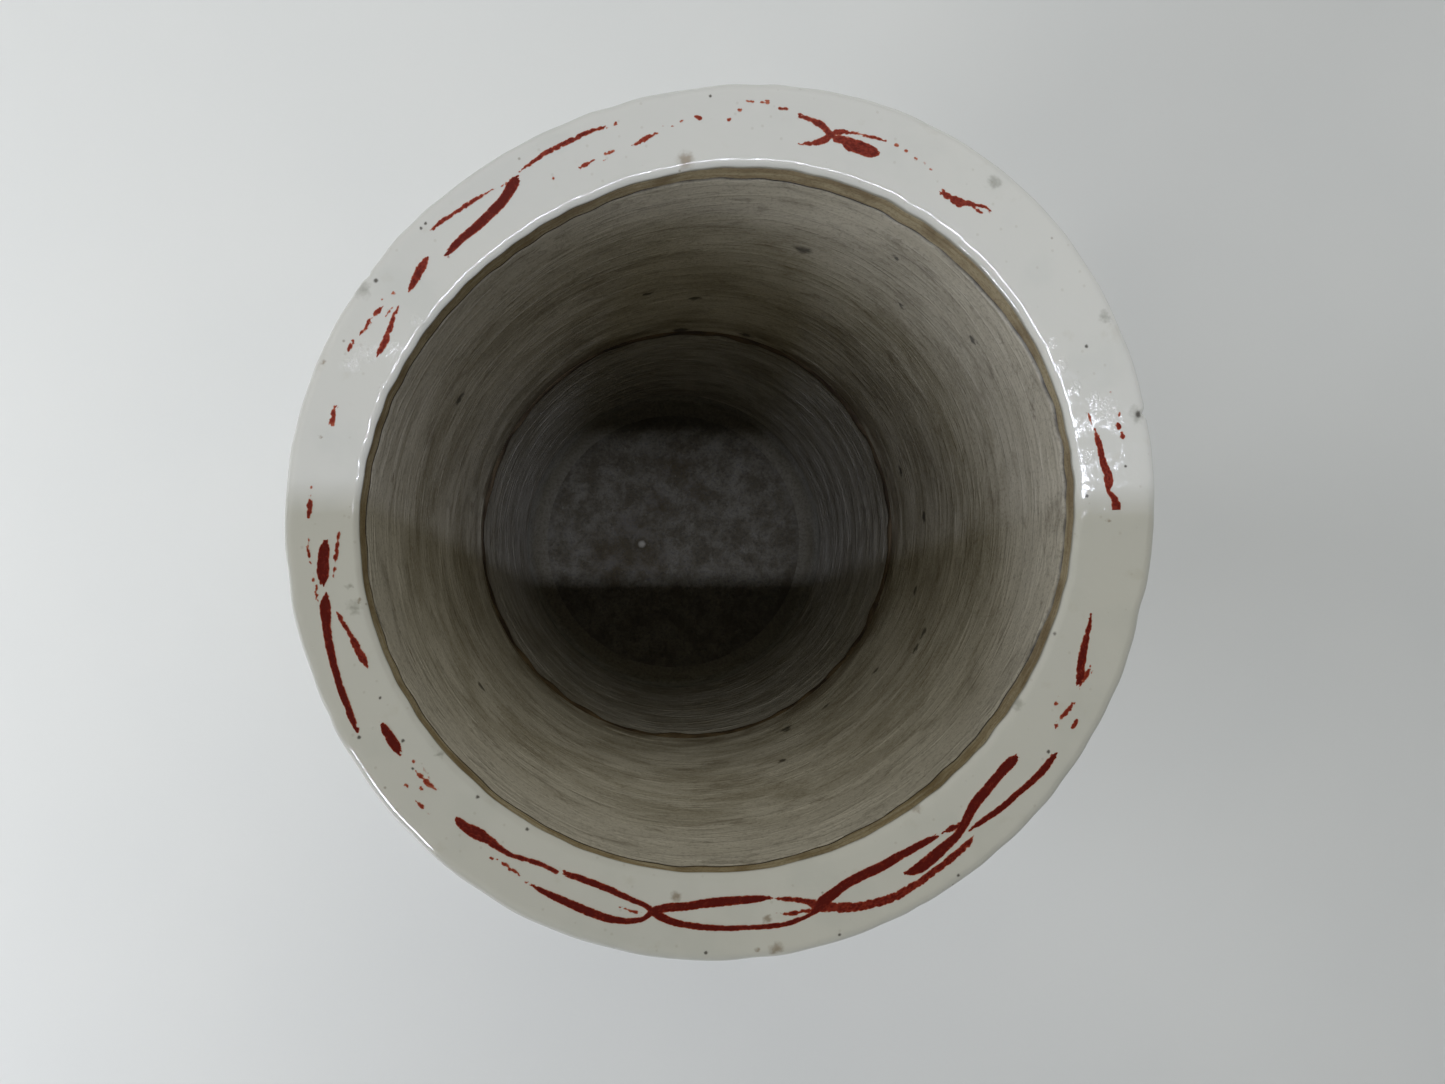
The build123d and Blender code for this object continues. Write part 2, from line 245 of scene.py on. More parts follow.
def bend(start, corner, end, steps):
    """Points of a curve that leaves its start and reaches its end in line with the corner."""
    made = []
    for t in np.linspace(0, 1, steps + 1):
        weights = ((1 - t) ** 2, 2 * t * (1 - t), t * t)
        made.append(tuple(sum(w * p[i] for w, p in zip(weights, (start, corner, end))) for i in (0, 1)))
    return made


def divided(points, longest):
    """The same outline with no stretch longer than this, without its last point."""
    made = []
    for (r0, z0), (r1, z1) in zip(points, points[1:]):
        count = max(1, math.ceil(math.hypot(r1 - r0, z1 - z0) / longest - 1e-6))
        made += [(r0 + (r1 - r0) * i / count, z0 + (z1 - z0) * i / count) for i in range(count)]
    return made


def build(name, points, faces, sharp=35):
    """A smooth-shaded mesh object from points in millimetres."""
    mesh = bpy.data.meshes.new(name)
    mesh.from_pydata([tuple(p) for p in np.asarray(points) * MM], [], faces)
    mesh.validate()
    mesh.shade_smooth()
    mesh.set_sharp_from_angle(angle=math.radians(sharp))
    piece = bpy.data.objects.new(name, mesh)
    bpy.context.scene.collection.objects.link(piece)
    return piece


def turned(name, outline, segments, detail=None):
    """A piece turned round the pot's axis. The outline runs anticlockwise, seen with the radius to
    the right and up as up. It either closes on itself, or starts and ends on the axis."""
    outline = np.array(outline)
    solid = outline[0, 0] < 1e-9
    rings = outline[1:-1] if solid else outline
    angle = np.arange(segments) * FULL_TURN / segments
    angles = np.broadcast_to(angle[None, :], (len(rings), segments))
    radii = np.broadcast_to(rings[:, :1], angles.shape)
    heights = np.broadcast_to(rings[:, 1:], angles.shape)
    if detail:
        radii, heights = detail(angles, radii, heights)
    points = warp(angles, radii, heights).reshape(-1, 3)
    faces = []
    for i in range(len(rings) if not solid else len(rings) - 1):
        low, high = i * segments, (i + 1) % len(rings) * segments
        for j in range(segments):
            k = (j + 1) % segments
            faces.append((low + j, low + k, high + k, high + j))
    if solid:
        start, end = len(points), len(points) + 1
        ends = [points[:segments].mean(0), points[-segments:].mean(0)]
        points = np.vstack([points, ends])
        last = (len(rings) - 1) * segments
        for j in range(segments):
            k = (j + 1) % segments
            faces.append((start, k, j))
            faces.append((end, last + j, last + k))
    piece = build(name, points, faces)
    note(piece, "level", heights)
    note(piece, "crack", crack_depth(angles))
    return piece


def note(piece, label, values):
    """Keeps a number at each point of a piece for its material; points left over get 0."""
    layer = piece.data.attributes.new(label, "FLOAT", "POINT")
    kept = np.zeros(len(piece.data.vertices), np.float32)
    kept[:np.size(values)] = np.ravel(values)
    layer.data.foreach_set("value", kept)


# ---- Node helpers ----


def tone(red, green, blue):
    """A colour as the eye names it, from 0 to 255, turned into the light that Blender reckons in."""
    shares = [value / 255 for value in (red, green, blue)]
    linear = [s / 12.92 if s <= 0.04045 else ((s + 0.055) / 1.055) ** 2.4 for s in shares]
    return (*linear, 1.0)


class Finish:
    """One material's node tree, with short names for the nodes that this script uses."""

    def __init__(self, name):
        self.material = bpy.data.materials.new(name)
        self.material.use_nodes = True
        self.tree = self.material.node_tree
        self.tree.nodes.clear()
        self.shader = self.tree.nodes.new("ShaderNodeBsdfPrincipled")
        output = self.tree.nodes.new("ShaderNodeOutputMaterial")
        self.tree.links.new(self.shader.outputs["BSDF"], output.inputs["Surface"])
        place = self.tree.nodes.new("ShaderNodeTexCoord").outputs["Object"]
        self.point = self.vector("SCALE", place, scale=1 / MM)

    def feed(self, socket, value):
        if isinstance(value, bpy.types.NodeSocket):
            self.tree.links.new(value, socket)
        else:
            socket.default_value = value

    def set(self, **values):
        """Sets the shader's own sockets, named with _ for a space."""
        for name, value in values.items():
            self.feed(self.shader.inputs[name.replace("_", " ")], value)

    def math(self, operation, a, b=0.5):
        node = self.tree.nodes.new("ShaderNodeMath")
        node.operation = operation
        self.feed(node.inputs[0], a)
        self.feed(node.inputs[1], b)
        return node.outputs[0]

    def times(self, a, b):
        return self.math("MULTIPLY", a, b)

    def plus(self, a, b):
        return self.math("ADD", a, b)

    def vector(self, operation, a, b=None, scale=None):
        node = self.tree.nodes.new("ShaderNodeVectorMath")
        node.operation = operation
        self.feed(node.inputs[0], a)
        if b is not None:
            self.feed(node.inputs[1], b)
        if scale is not None:
            self.feed(node.inputs["Scale"], scale)
        return node.outputs["Value" if operation in ("DISTANCE", "LENGTH") else "Vector"]

    def scaled(self, size, stretch, shift):
        """The point in units of a size in millimetres, stretched along the pot's axes and shifted."""
        point = self.vector("MULTIPLY", self.point, tuple(1 / (size * s) for s in stretch))
        return self.vector("ADD", point, (shift, shift, shift))

    def noise(self, size, stretch=(1, 1, 1), detail=3.0, roughness=0.5, distortion=0.0, shift=0.0,
              colour=False):
        """Noise with features of a size in millimetres. The shift makes it another pattern."""
        point = self.scaled(size, stretch, shift)
        node = self.tree.nodes.new("ShaderNodeTexNoise")
        self.feed(node.inputs["Vector"], point)
        node.inputs["Scale"].default_value = 1.0
        node.inputs["Detail"].default_value = detail
        node.inputs["Roughness"].default_value = roughness
        node.inputs["Distortion"].default_value = distortion
        return node.outputs["Color" if colour else "Fac"]

    def cells(self, size, shift=0.0):
        """Distance from the nearest of many scattered points, in units of their spacing."""
        node = self.tree.nodes.new("ShaderNodeTexVoronoi")
        self.feed(node.inputs["Vector"], self.scaled(size, (1, 1, 1), shift))
        node.inputs["Scale"].default_value = 1.0
        return node.outputs["Distance"]

    def between(self, value, low, high, start=0.0, end=1.0):
        """start where value is low, end where it is high, and smooth between them."""
        node = self.tree.nodes.new("ShaderNodeMapRange")
        node.interpolation_type = "SMOOTHSTEP"
        self.feed(node.inputs["Value"], value)
        for name, number in (("From Min", low), ("From Max", high), ("To Min", start), ("To Max", end)):
            node.inputs[name].default_value = number
        return node.outputs["Result"]

    def mix(self, share, a, b):
        node = self.tree.nodes.new("ShaderNodeMix")
        node.data_type = "RGBA"
        self.feed(node.inputs["Factor"], share)
        self.feed(node.inputs[6], a)        # the colour sockets of a node that has others too
        self.feed(node.inputs[7], b)
        return node.outputs[2]

    def tint(self, colour, shade, value, low, high, most):
        """The colour, with a shade over it that grows from nothing at low to its most at high."""
        return self.mix(self.between(value, low, high, 0.0, most), colour, shade)

    def worn(self, colour, shade, value, low, high, most):
        """The colour, with a shade over it that fades from its most at low to nothing at high."""
        return self.mix(self.between(value, low, high, most, 0.0), colour, shade)

    def attribute(self, name):
        node = self.tree.nodes.new("ShaderNodeAttribute")
        node.attribute_name = name
        return node.outputs["Fac"]

    def height(self):
        """The point's height in millimetres."""
        node = self.tree.nodes.new("ShaderNodeSeparateXYZ")
        self.feed(node.inputs[0], self.point)
        return node.outputs["Z"]

    def radius(self):
        """The point's distance from the pot's axis in millimetres."""
        return self.vector("LENGTH", self.vector("MULTIPLY", self.point, (1, 1, 0)))

    def bump(self, height, depth, below=None):
        """Relief of a depth in millimetres, laid over another one."""
        node = self.tree.nodes.new("ShaderNodeBump")
        node.inputs["Strength"].default_value = 1.0
        node.inputs["Distance"].default_value = depth * MM
        self.feed(node.inputs["Height"], height)
        if below is not None:
            self.feed(node.inputs["Normal"], below)
        return node.outputs["Normal"]

    def marks(self, places, ragged=0.5, grain=0.8, soft=0.5):
        """1 inside the marks and 0 outside: each is a point in millimetres and a radius. Their
        outlines are torn by noise, and their edges fade over a share of their size."""
        tear = self.vector("SUBTRACT", self.noise(grain, colour=True, detail=2.0), (0.5, 0.5, 0.5))
        point = self.vector("ADD", self.point, self.vector("SCALE", tear, scale=ragged))
        nearest = 10.0
        for centre, size in places:
            away = self.vector("DISTANCE", point, tuple(centre))
            nearest = self.math("MINIMUM", self.math("DIVIDE", away, size), nearest)
        return self.between(nearest, 1.0 - soft, 1.0 + soft, 1.0, 0.0)


# ---- Materials ----

# The rim's marks and strokes were laid out on an oval rim, this much out of round.
OVAL = 0.9
OVAL_CREST = math.radians(45)


def rim_radius_of(angle, reading):
    """The radius on the true round pot of a place on the oval rim."""
    real = reading + OVAL * np.cos(2 * (angle - OVAL_CREST))
    inner = MOUTH_RADIUS - GLAZE_THICKNESS
    low, high = inner + waves(angle, MOUTH_WAVES), GLAZED_RIM_RADIUS + waves(angle, LIP_WAVES)
    return inner + (real - low) / (high - low) * (GLAZED_RIM_RADIUS - inner)


def on_rim(degrees, reading, height=None):
    """A place on the rim's top in millimetres."""
    angle = np.radians(np.asarray(degrees, float))
    height = POT_HEIGHT if height is None else height
    return warp(angle, rim_radius_of(angle, np.asarray(reading, float)), np.full_like(angle, height))


def on_wall(degrees, height):
    """A place on the inner wall in millimetres."""
    angle, height = np.radians(np.asarray(degrees, float)), np.asarray(height, float)
    return warp(angle, bore(height), height)


def rim_marks(rows):
    """Marks on the rim from rows of angle, radius and size across."""
    return [(on_rim(angle, radius), size / 2) for angle, radius, size in rows]


def wall_marks(rows):
    """Marks on the inner wall from rows of angle, height and size across."""
    return [(on_wall(angle, height), size / 2) for angle, height, size in rows]


BLACK_SPECKS = (
    (26, 56.5, 0.5), (210.4, 58.4, 0.5), (214, 53.7, 0.5), (207, 53.4, 0.4), (218, 54.8, 0.4),
    (323.8, 57.3, 0.5), (340.6, 49.9, 0.6), (137.2, 59.6, 0.4), (136.3, 59.6, 0.4), (93, 59.8, 0.4),
    (266.5, 60.6, 0.5), (236.5, 50.6, 0.5), (227.5, 51.1, 0.5), (284.5, 61, 0.5), (302.5, 61, 0.5),
    (6.2, 49.8, 0.4), (3.8, 51.4, 0.5), (7.7, 57.4, 0.4), (146.5, 60, 0.6), (75, 49.7, 0.8),
    (54.2, 49.7, 0.8), (14.5, 61.2, 0.9),
)
GREY_SMUDGES = (
    (52, 60.5, 1.6), (28.5, 61, 1.3), (148.5, 60.6, 1.8), (327.3, 49.5, 1.5), (14.5, 61, 1.8),
    (193.4, 52.7, 1.5), (190.2, 52.9, 0.8), (219, 50.8, 0.9),
)
BROWN_STAINS = (
    (97.5, 51, 1.9), (159.3, 60.5, 0.7), (359.8, 54.7, 0.6), (169, 57.9, 0.5), (261.5, 53, 1.2),
    (275.8, 60.9, 1.5), (273.4, 60.7, 0.6), (302.7, 49.4, 1.2), (275, 56.5, 0.9),
    (192.7, 51.8, 0.5),
)


def glaze_colour(f, marked):
    """Grey-white glaze with clouds, thin grey patches where it is worn, and its marks."""
    colour = f.mix(f.noise(34, detail=2.0), tone(203, 205, 203), tone(211, 211, 203))
    colour = f.tint(colour, tone(196, 199, 194), f.noise(9, shift=4.0), 0.5, 0.75, 0.5)
    colour = f.tint(colour, tone(190, 188, 176), f.noise(3.2, detail=4.0, shift=9.0), 0.62, 0.78, 0.35)
    colour = f.worn(colour, tone(120, 110, 90), f.cells(5.5, shift=2.0), 0.02, 0.05, 0.6)
    colour = f.worn(colour, tone(150, 142, 122), f.cells(2.3, shift=11.0), 0.05, 0.13, 0.22)
    if marked:
        smudges = f.marks(rim_marks(GREY_SMUDGES), ragged=1.9, grain=0.9, soft=0.8)
        colour = f.mix(f.times(smudges, 0.55), colour, tone(112, 112, 100))
        stains = f.marks(rim_marks(BROWN_STAINS), ragged=1.3, grain=0.8, soft=0.8)
        colour = f.mix(f.times(stains, 0.7), colour, tone(112, 88, 52))
        specks = f.marks(rim_marks(BLACK_SPECKS), ragged=0.25, grain=0.4)
        colour = f.mix(f.times(specks, 0.9), colour, tone(48, 40, 34))
    return colour


# Where the glaze is wrinkled and glitters: angle, radius and size.
WRINKLES = (
    (16.3, 56.2, 3.4), (13.8, 57.2, 2.0), (18.4, 55, 1.8), (155.5, 56, 3.4), (158, 57.4, 2.4),
    (154, 52.5, 2.8), (160, 52.2, 1.8), (25, 52.2, 2.0), (29, 52, 1.6), (10, 51.9, 2.0),
    (21, 52.6, 1.8), (148, 52, 1.6),
)


def glaze_relief(f, wrinkled=False):
    """Orange peel, and the long soft waves of a glaze that has run and set."""
    relief = f.bump(f.noise(5.0, detail=2.0, shift=3.0), 0.07)
    relief = f.bump(f.noise(1.3, detail=2.0, shift=6.0), 0.035, relief)
    relief = f.bump(f.between(f.cells(4.0, shift=7.0), 0.02, 0.06), 0.04, relief)
    if wrinkled:
        places = f.marks(rim_marks(WRINKLES), ragged=2.0, grain=1.2)
        wrinkles = f.noise(0.42, roughness=0.6, shift=1.0)
        relief = f.bump(f.times(wrinkles, places), 0.10, relief)
    return relief


def white_glaze(name, marked):
    """The pot's grey-white glaze."""
    f = Finish(name)
    f.set(Base_Color=glaze_colour(f, marked), Normal=glaze_relief(f, marked), IOR=1.5)
    dull = f.noise(2.4, detail=4.0, roughness=0.65, shift=12.0)
    f.set(Roughness=f.between(dull, 0.5, 0.80, 0.06, 0.18))
    return f.material


# Dark spots on the inner wall: angle, height and size.
CLAY_DARK_SPOTS = (
    (91, 151, 2.6), (4, 147, 2.4), (307, 138, 2.4), (295, 135, 3.0), (322, 148, 2.0), (345, 147, 2.0),
    (50, 193, 1.6), (36, 207, 1.5), (57, 209, 1.5), (295, 137, 2.0), (17, 134, 2.4), (93, 120, 4.0),
    (103, 160, 2.0), (153, 185, 2.6), (72, 193, 3.0), (75, 122, 3.2), (335, 165, 2.4), (331, 165.5, 2.2),
    (215, 178, 2.0), (289, 163, 1.8),
)


def inner_clay(name, light, dark, dirt, gloss, ridge, marked=False):
    """Unglazed clay of the inner wall: blotched and grainy, with dirt in some of its rings. Painted light
    lightens it towards the mouth, and painted shade darkens the rim's joint. The gloss is the roughness
    from its smoothest to its roughest, and the ridge is in millimetres."""
    f = Finish(name)
    height = f.height()
    blotch = f.noise(19, (1, 1, 0.6), detail=5.0, roughness=0.6, distortion=0.4, shift=5.0)
    patch = f.between(f.noise(26, (1, 1, 0.8), detail=2.0, shift=21.0), 0.42, 0.62)
    ring = f.noise(4.4, (9, 9, 1), detail=5.0, roughness=0.6, distortion=1.2)
    grain = f.noise(0.6, detail=4.0, roughness=0.65, shift=8.0)
    colour = f.mix(f.between(blotch, 0.36, 0.66), light, dark)
    # Painted light: the wall is painted lighter over the last few centimetres below the rim's joint, where
    # light comes in at the mouth.
    colour = f.tint(colour, tone(206, 200, 186), height, RIM_JOINT_BOTTOM - 34, RIM_JOINT_BOTTOM, 0.7)
    rings_here = f.times(f.between(ring, 0.42, 0.66), f.between(patch, 0.0, 1.0, 0.2, 0.75))
    fading = f.between(height, RIM_JOINT_BOTTOM - 45, RIM_JOINT_BOTTOM - 15, 1.0, 0.35)
    colour = f.mix(f.times(rings_here, fading), colour, dark)
    colour = f.tint(colour, dirt, grain, 0.46, 0.70, 0.42)
    colour = f.worn(colour, light, grain, 0.30, 0.48, 0.4)
    streak = f.noise(1.9, (6, 6, 1), detail=5.0, roughness=0.72, distortion=0.8, shift=14.0)
    colour = f.mix(f.times(f.between(streak, 0.60, 0.70, 0.0, 0.8), patch), colour, dirt)
    smear = f.noise(5.0, (2.2, 2.2, 1), detail=6.0, roughness=0.72, distortion=1.0, shift=51.0)
    colour = f.tint(colour, dirt, smear, 0.50, 0.68, 0.5)
    colour = f.worn(colour, light, smear, 0.30, 0.46, 0.5)
    above = f.between(height, SEAM_TOP + 2, SEAM_TOP + 15, 1.0, 0.0)
    below = f.between(height, SEAM_BOTTOM - 7, SEAM_BOTTOM)
    uneven = f.between(f.noise(6, (3, 3, 1), shift=3.0), 0.3, 0.6)
    colour = f.mix(f.times(f.times(f.times(above, below), uneven), 0.9), colour, dirt)
    if marked:
        # Painted shade, with dirt: the rim's joint is darkened, most where its crack is deepest.
        colour = f.mix(joint_dirt_and_shade(f), colour, tone(30, 23, 15))
        spots = f.marks(wall_marks(CLAY_DARK_SPOTS), ragged=2.6, grain=1.3)
        colour = f.mix(f.times(spots, 0.85), colour, tone(34, 28, 20))
    relief = f.bump(ring, 0.22)
    relief = f.bump(f.noise(1.1, (5, 5, 1), shift=2.0), 0.10, relief)
    ridges = f.noise(2.0, (8, 8, 1), roughness=0.6, distortion=0.7, shift=33.0)
    relief = f.bump(f.between(ridges, 0.46, 0.70), ridge, relief)
    relief = f.bump(grain, 0.06, relief)
    f.set(Base_Color=colour, Normal=relief, Roughness=f.between(streak, 0.35, 0.7, *gloss))
    return f.material


# The nub that the potter's thumb left on the floor, and brown stains round it: x, y and size.
NUB, NUB_HEIGHT = (-11, -1), 1.3
FLOOR_STAINS = ((-21, -5, 15), (-15, 4, 12), (-9, -6, 12), (-6, 13, 8), (1, 25, 10), (7, 17, 7))


def floor_clay(name):
    """The floor: dark, blotched with brown and specked, with painted shade at its edge and a painted
    highlight on its nub.
    """
    f = Finish(name)
    blotch = f.noise(6, detail=6.0, roughness=0.78, distortion=0.2, shift=2.0)
    grain = f.noise(0.9, detail=4.0, roughness=0.7, shift=8.0)
    colour = f.mix(f.between(blotch, 0.36, 0.64), tone(74, 69, 54), tone(55, 49, 35))
    colour = f.tint(colour, tone(56, 50, 33), f.noise(15, detail=4.0, shift=31.0), 0.54, 0.68, 0.5)
    places = [((x, y, FLOOR_HEIGHT), size / 2) for x, y, size in FLOOR_STAINS]
    stains = f.marks(places, ragged=7.0, grain=4.0, soft=0.7)
    colour = f.mix(f.times(stains, 0.85), colour, tone(48, 39, 16))
    colour = f.tint(colour, tone(32, 28, 20), grain, 0.46, 0.66, 0.6)
    colour = f.tint(colour, tone(104, 102, 90), f.noise(1.6, shift=17.0), 0.64, 0.76, 0.3)
    # Painted shade: the floor is painted darker towards its corner with the coil.
    edge = f.plus(f.radius(), f.times(f.noise(4, shift=12.0), 7.0))
    colour = f.tint(colour, tone(46, 40, 27), edge, COIL_EDGE, COIL_EDGE + 4, 0.35)
    # Painted highlight: the nub's top is painted lighter, standing in for its glint.
    nub = f.marks([((*NUB, FLOOR_HEIGHT + NUB_HEIGHT), 1.2)], ragged=0.4, soft=0.6)
    colour = f.mix(f.times(nub, 0.8), colour, tone(168, 164, 152))
    relief = f.bump(blotch, 0.22)
    relief = f.bump(grain, 0.08, relief)
    rough = f.between(blotch, 0.35, 0.65, 0.62, 0.88)
    f.set(Base_Color=colour, Normal=relief, Roughness=f.times(rough, f.between(nub, 0, 1, 1.0, 0.4)))
    return f.material


def coil_clay(name):
    """The corner coil: clay of the wall above, darker and browner down to the floor."""
    f = Finish(name)
    grain = f.noise(0.9, detail=4.0, roughness=0.65, shift=8.0)
    smear = f.noise(3.0, (4, 4, 1), detail=4.0, distortion=0.8)
    level = f.plus(f.height(), f.times(smear, 6.0))
    colour = f.mix(f.between(level, FLOOR_HEIGHT + 3, COIL_TOP + 2), tone(76, 71, 57), tone(130, 127, 116))
    colour = f.tint(colour, tone(42, 37, 26), grain, 0.42, 0.7, 0.4)
    relief = f.bump(grain, 0.08, f.bump(smear, 0.3))
    f.set(Base_Color=colour, Normal=relief, Roughness=f.between(grain, 0.3, 0.7, 0.65, 0.9))
    return f.material


def slip_clay(name, light, dark):
    """Slip in a joint: dark, with grit and dirt pressed into it. The rim's joint gets darker tones still, as
    painted shade in its crack.
    """
    f = Finish(name)
    lumps = f.noise(2.2, (3, 3, 1), detail=4.0)
    colour = f.mix(f.between(lumps, 0.35, 0.65), dark, light)
    f.set(Base_Color=colour, Roughness=f.between(lumps, 0.3, 0.7, 0.65, 0.9), Normal=f.bump(lumps, 0.3))
    return f.material


def joint_dirt_and_shade(f):
    """Painted shade with dirt: 1 at the rim's joint and 0 a little away from it, most where the joint has
    cracked open, so the crack is darkest where it is deepest.
    """
    away = f.math("ABSOLUTE", f.math("SUBTRACT", f.attribute("level"), JOINT_MIDDLE))
    wander = f.times(f.noise(1.4, (3, 3, 1), shift=41.0), 0.9)
    near = f.between(f.plus(away, wander), 0.55, 1.15, 1.0, 0.0)
    return f.times(near, f.between(f.attribute("crack"), 0.05, 0.5, 0.35, 1.0))


def band_clay(name):
    """The bare band of the rim ring's bore: tan, smoothed by fingers, with dark dirt along it and painted
    shade in its joint.
    """
    f = Finish(name)
    ring = f.noise(1.1, (12, 12, 1), detail=4.0, roughness=0.6, distortion=0.6)
    grain = f.noise(0.5, roughness=0.6, shift=6.0)
    colour = f.mix(f.between(ring, 0.35, 0.65), tone(182, 168, 136), tone(146, 127, 92))
    colour = f.tint(colour, tone(108, 87, 53), f.noise(6, detail=4.0), 0.45, 0.68, 0.65)
    colour = f.tint(colour, tone(88, 68, 38), grain, 0.46, 0.66, 0.45)
    # Painted shade, with dirt: the band darkens into the rim's joint, most where its crack is deepest.
    colour = f.mix(joint_dirt_and_shade(f), colour, tone(30, 20, 10))
    relief = f.bump(grain, 0.04, f.bump(ring, 0.12))
    f.set(Base_Color=colour, Roughness=f.between(ring, 0.3, 0.7, 0.5, 0.75), Normal=relief)
    return f.material


def foot_clay(name):
    """The foot's bare clay: buff, burnt orange beside the glaze, rubbed grey where it stands."""
    f = Finish(name)
    height = f.height()
    grain = f.noise(0.7, detail=4.0, roughness=0.6)
    colour = f.mix(f.between(grain, 0.3, 0.7), tone(196, 182, 156), tone(170, 152, 122))
    scorch = f.plus(height, f.times(f.noise(5, shift=2.0), 2.0))
    colour = f.mix(f.times(f.between(scorch, 1.6, 3.4), 0.7), colour, tone(150, 92, 48))
    colour = f.worn(colour, tone(112, 102, 88), f.plus(height, f.noise(2.5, shift=5.0)), 0.5, 1.0, 0.8)
    colour = f.worn(colour, tone(60, 44, 32), f.cells(1.6), 0.06, 0.12, 0.8)
    f.set(Base_Color=colour, Roughness=f.between(grain, 0.3, 0.7, 0.7, 0.95), Normal=f.bump(grain, 0.08))
    return f.material


def red_enamel(name):
    """Iron-red enamel: maroon where it is thick, orange where the brush or wear left it thin."""
    f = Finish(name)
    grain = f.noise(0.35, roughness=0.6)
    pigment = f.plus(f.attribute("pigment"), f.times(f.math("SUBTRACT", grain, 0.5), 0.5))
    colour = f.mix(f.between(pigment, 0.0, 0.3), glaze_colour(f, False), tone(174, 92, 64))
    colour = f.mix(f.between(pigment, 0.2, 0.55), colour, tone(122, 36, 25))
    colour = f.mix(f.between(pigment, 0.5, 0.95), colour, tone(78, 18, 14))
    relief = f.bump(grain, 0.02, glaze_relief(f))
    f.set(Base_Color=colour, Roughness=f.between(grain, 0.3, 0.7, 0.12, 0.24), Normal=relief)
    f.set(IOR=1.5, Specular_IOR_Level=0.45)
    return f.material


# ---- The pieces ----

FINE = 620          # segments round the glaze
MEDIUM = 480        # and round the clay


def clay_rim():
    """The rim ring's own profile, from the mouth over the lip to the body's outside."""
    points = arc((FLAT_INNER, SHOULDER_BOTTOM), SHOULDER_RADIUS, 180, 90, 4)
    points += arc((FLAT_OUTER, LIP_TOP), LIP_RADIUS, 90, 0, 4)
    return points + arc((RIM_RADIUS, RIM_JOINT_TOP), COVE_RADIUS, 90, 180, 4)


def glaze_outline():
    """The outer glaze's profile, from its lower edge up the wall, over the rim and back inside."""
    outside = [(BODY_RADIUS, GLAZE_BOTTOM), (GLAZE_RADIUS - 0.1, GLAZE_BOTTOM + 0.02),
               (GLAZE_RADIUS, GLAZE_BOTTOM + 0.4), (GLAZE_RADIUS, 10.0)]
    outside = divided(outside, 1.0) + divided([(GLAZE_RADIUS, 10.0), (GLAZE_RADIUS, RIM_JOINT_TOP)], 4.2)
    outside += arc((RIM_RADIUS, RIM_JOINT_TOP), COVE_RADIUS - GLAZE_THICKNESS, 180, 90, 6)
    outside += arc((RIM_RADIUS, HOLLOW_TOP), GLAZE_THICKNESS, -90, 0, 3)[1:]
    outside += arc((FLAT_OUTER, LIP_TOP), LIP_RADIUS + GLAZE_THICKNESS, 0, 90, 9)
    edge_radius = MOUTH_RADIUS - GLAZE_THICKNESS
    start, brow = (edge_radius + 1.15, POT_HEIGHT), (edge_radius + 0.12, POT_HEIGHT - 0.45)
    under, end = (edge_radius + 0.10, POT_HEIGHT - 1.0), (MOUTH_RADIUS - 0.03, GLAZE_END + 0.03)
    flat = divided([(FLAT_OUTER, POT_HEIGHT), start], 0.42)[1:]
    shoulder = bend(start, (edge_radius + 0.55, POT_HEIGHT), brow, 10)
    shoulder += bend(brow, (edge_radius, POT_HEIGHT - 0.6), under, 6)[1:]
    shoulder += divided([under, end], 0.4)[1:] + [end]
    edge = [(MOUTH_RADIUS, GLAZE_END)]
    inside = clay_rim() + divided([(BODY_RADIUS, RIM_JOINT_TOP - 0.5), (BODY_RADIUS, GLAZE_BOTTOM)], 12.0)
    return outside + flat + shoulder + edge + inside


def glaze_edges(angle, radius, height):
    """The glaze stops unevenly above the foot, in a rolled edge, and its wall is not quite smooth."""
    near = 1 - step(height, GLAZE_BOTTOM, GLAZE_BOTTOM + 7)
    lift = 0.55 + ripple(angle, 3, 9, 0.25, 31) + ripple(angle, 10, 40, 0.16, 32)
    outer = step(radius, BODY_RADIUS + 0.05, GLAZE_RADIUS)
    roll = 0.16 * np.exp(-(((height - GLAZE_BOTTOM - 1.2) / 1.1) ** 2)) * outer
    wall = step(height, 12, 30) * (1 - step(height, RIM_JOINT_BOTTOM - 12, RIM_JOINT_BOTTOM)) * outer
    lumpy = 1 + 0.5 * lattice(angle, height, 9, 8.0, 33)
    luting = 0.14 * np.exp(-(((height - SEAM_TOP) / 3.0) ** 2)) * lumpy
    turning = 0.06 * lattice(angle, height, 5, 7.0, 34) + 0.07 * lattice(angle, height, 12, 22.0, 35)
    return radius + roll + wall * (turning + luting), height + near * lift


HOLLOW, HOLLOW_DEPTH = (-6, -5), 0.5        # the hollow beside the nub
NUB_SPREAD, HOLLOW_SPREAD = 2.0, 30         # in square millimetres


def floor_detail(angle, radius, height):
    """Rings left on the floor by the potter's fingers, a raised nub and a hollow beside it."""
    top = (height > FLOOR_HEIGHT - 0.1) * (1 - step(radius, COIL_EDGE - 3, COIL_EDGE))
    x, y = radius * np.cos(angle), radius * np.sin(angle)
    drift = radius + 1.2 * np.cos(angle - 0.7)
    rings = 0.16 * lattice(angle, drift, 5, 4.6, 41) + 0.10 * lattice(angle, drift, 7, 2.3, 42)
    nub = NUB_HEIGHT * np.exp(-((x - NUB[0]) ** 2 + (y - NUB[1]) ** 2) / NUB_SPREAD)
    hollow = HOLLOW_DEPTH * np.exp(-((x - HOLLOW[0]) ** 2 + (y - HOLLOW[1]) ** 2) / HOLLOW_SPREAD)
    return radius, height + top * (rings + nub - hollow)


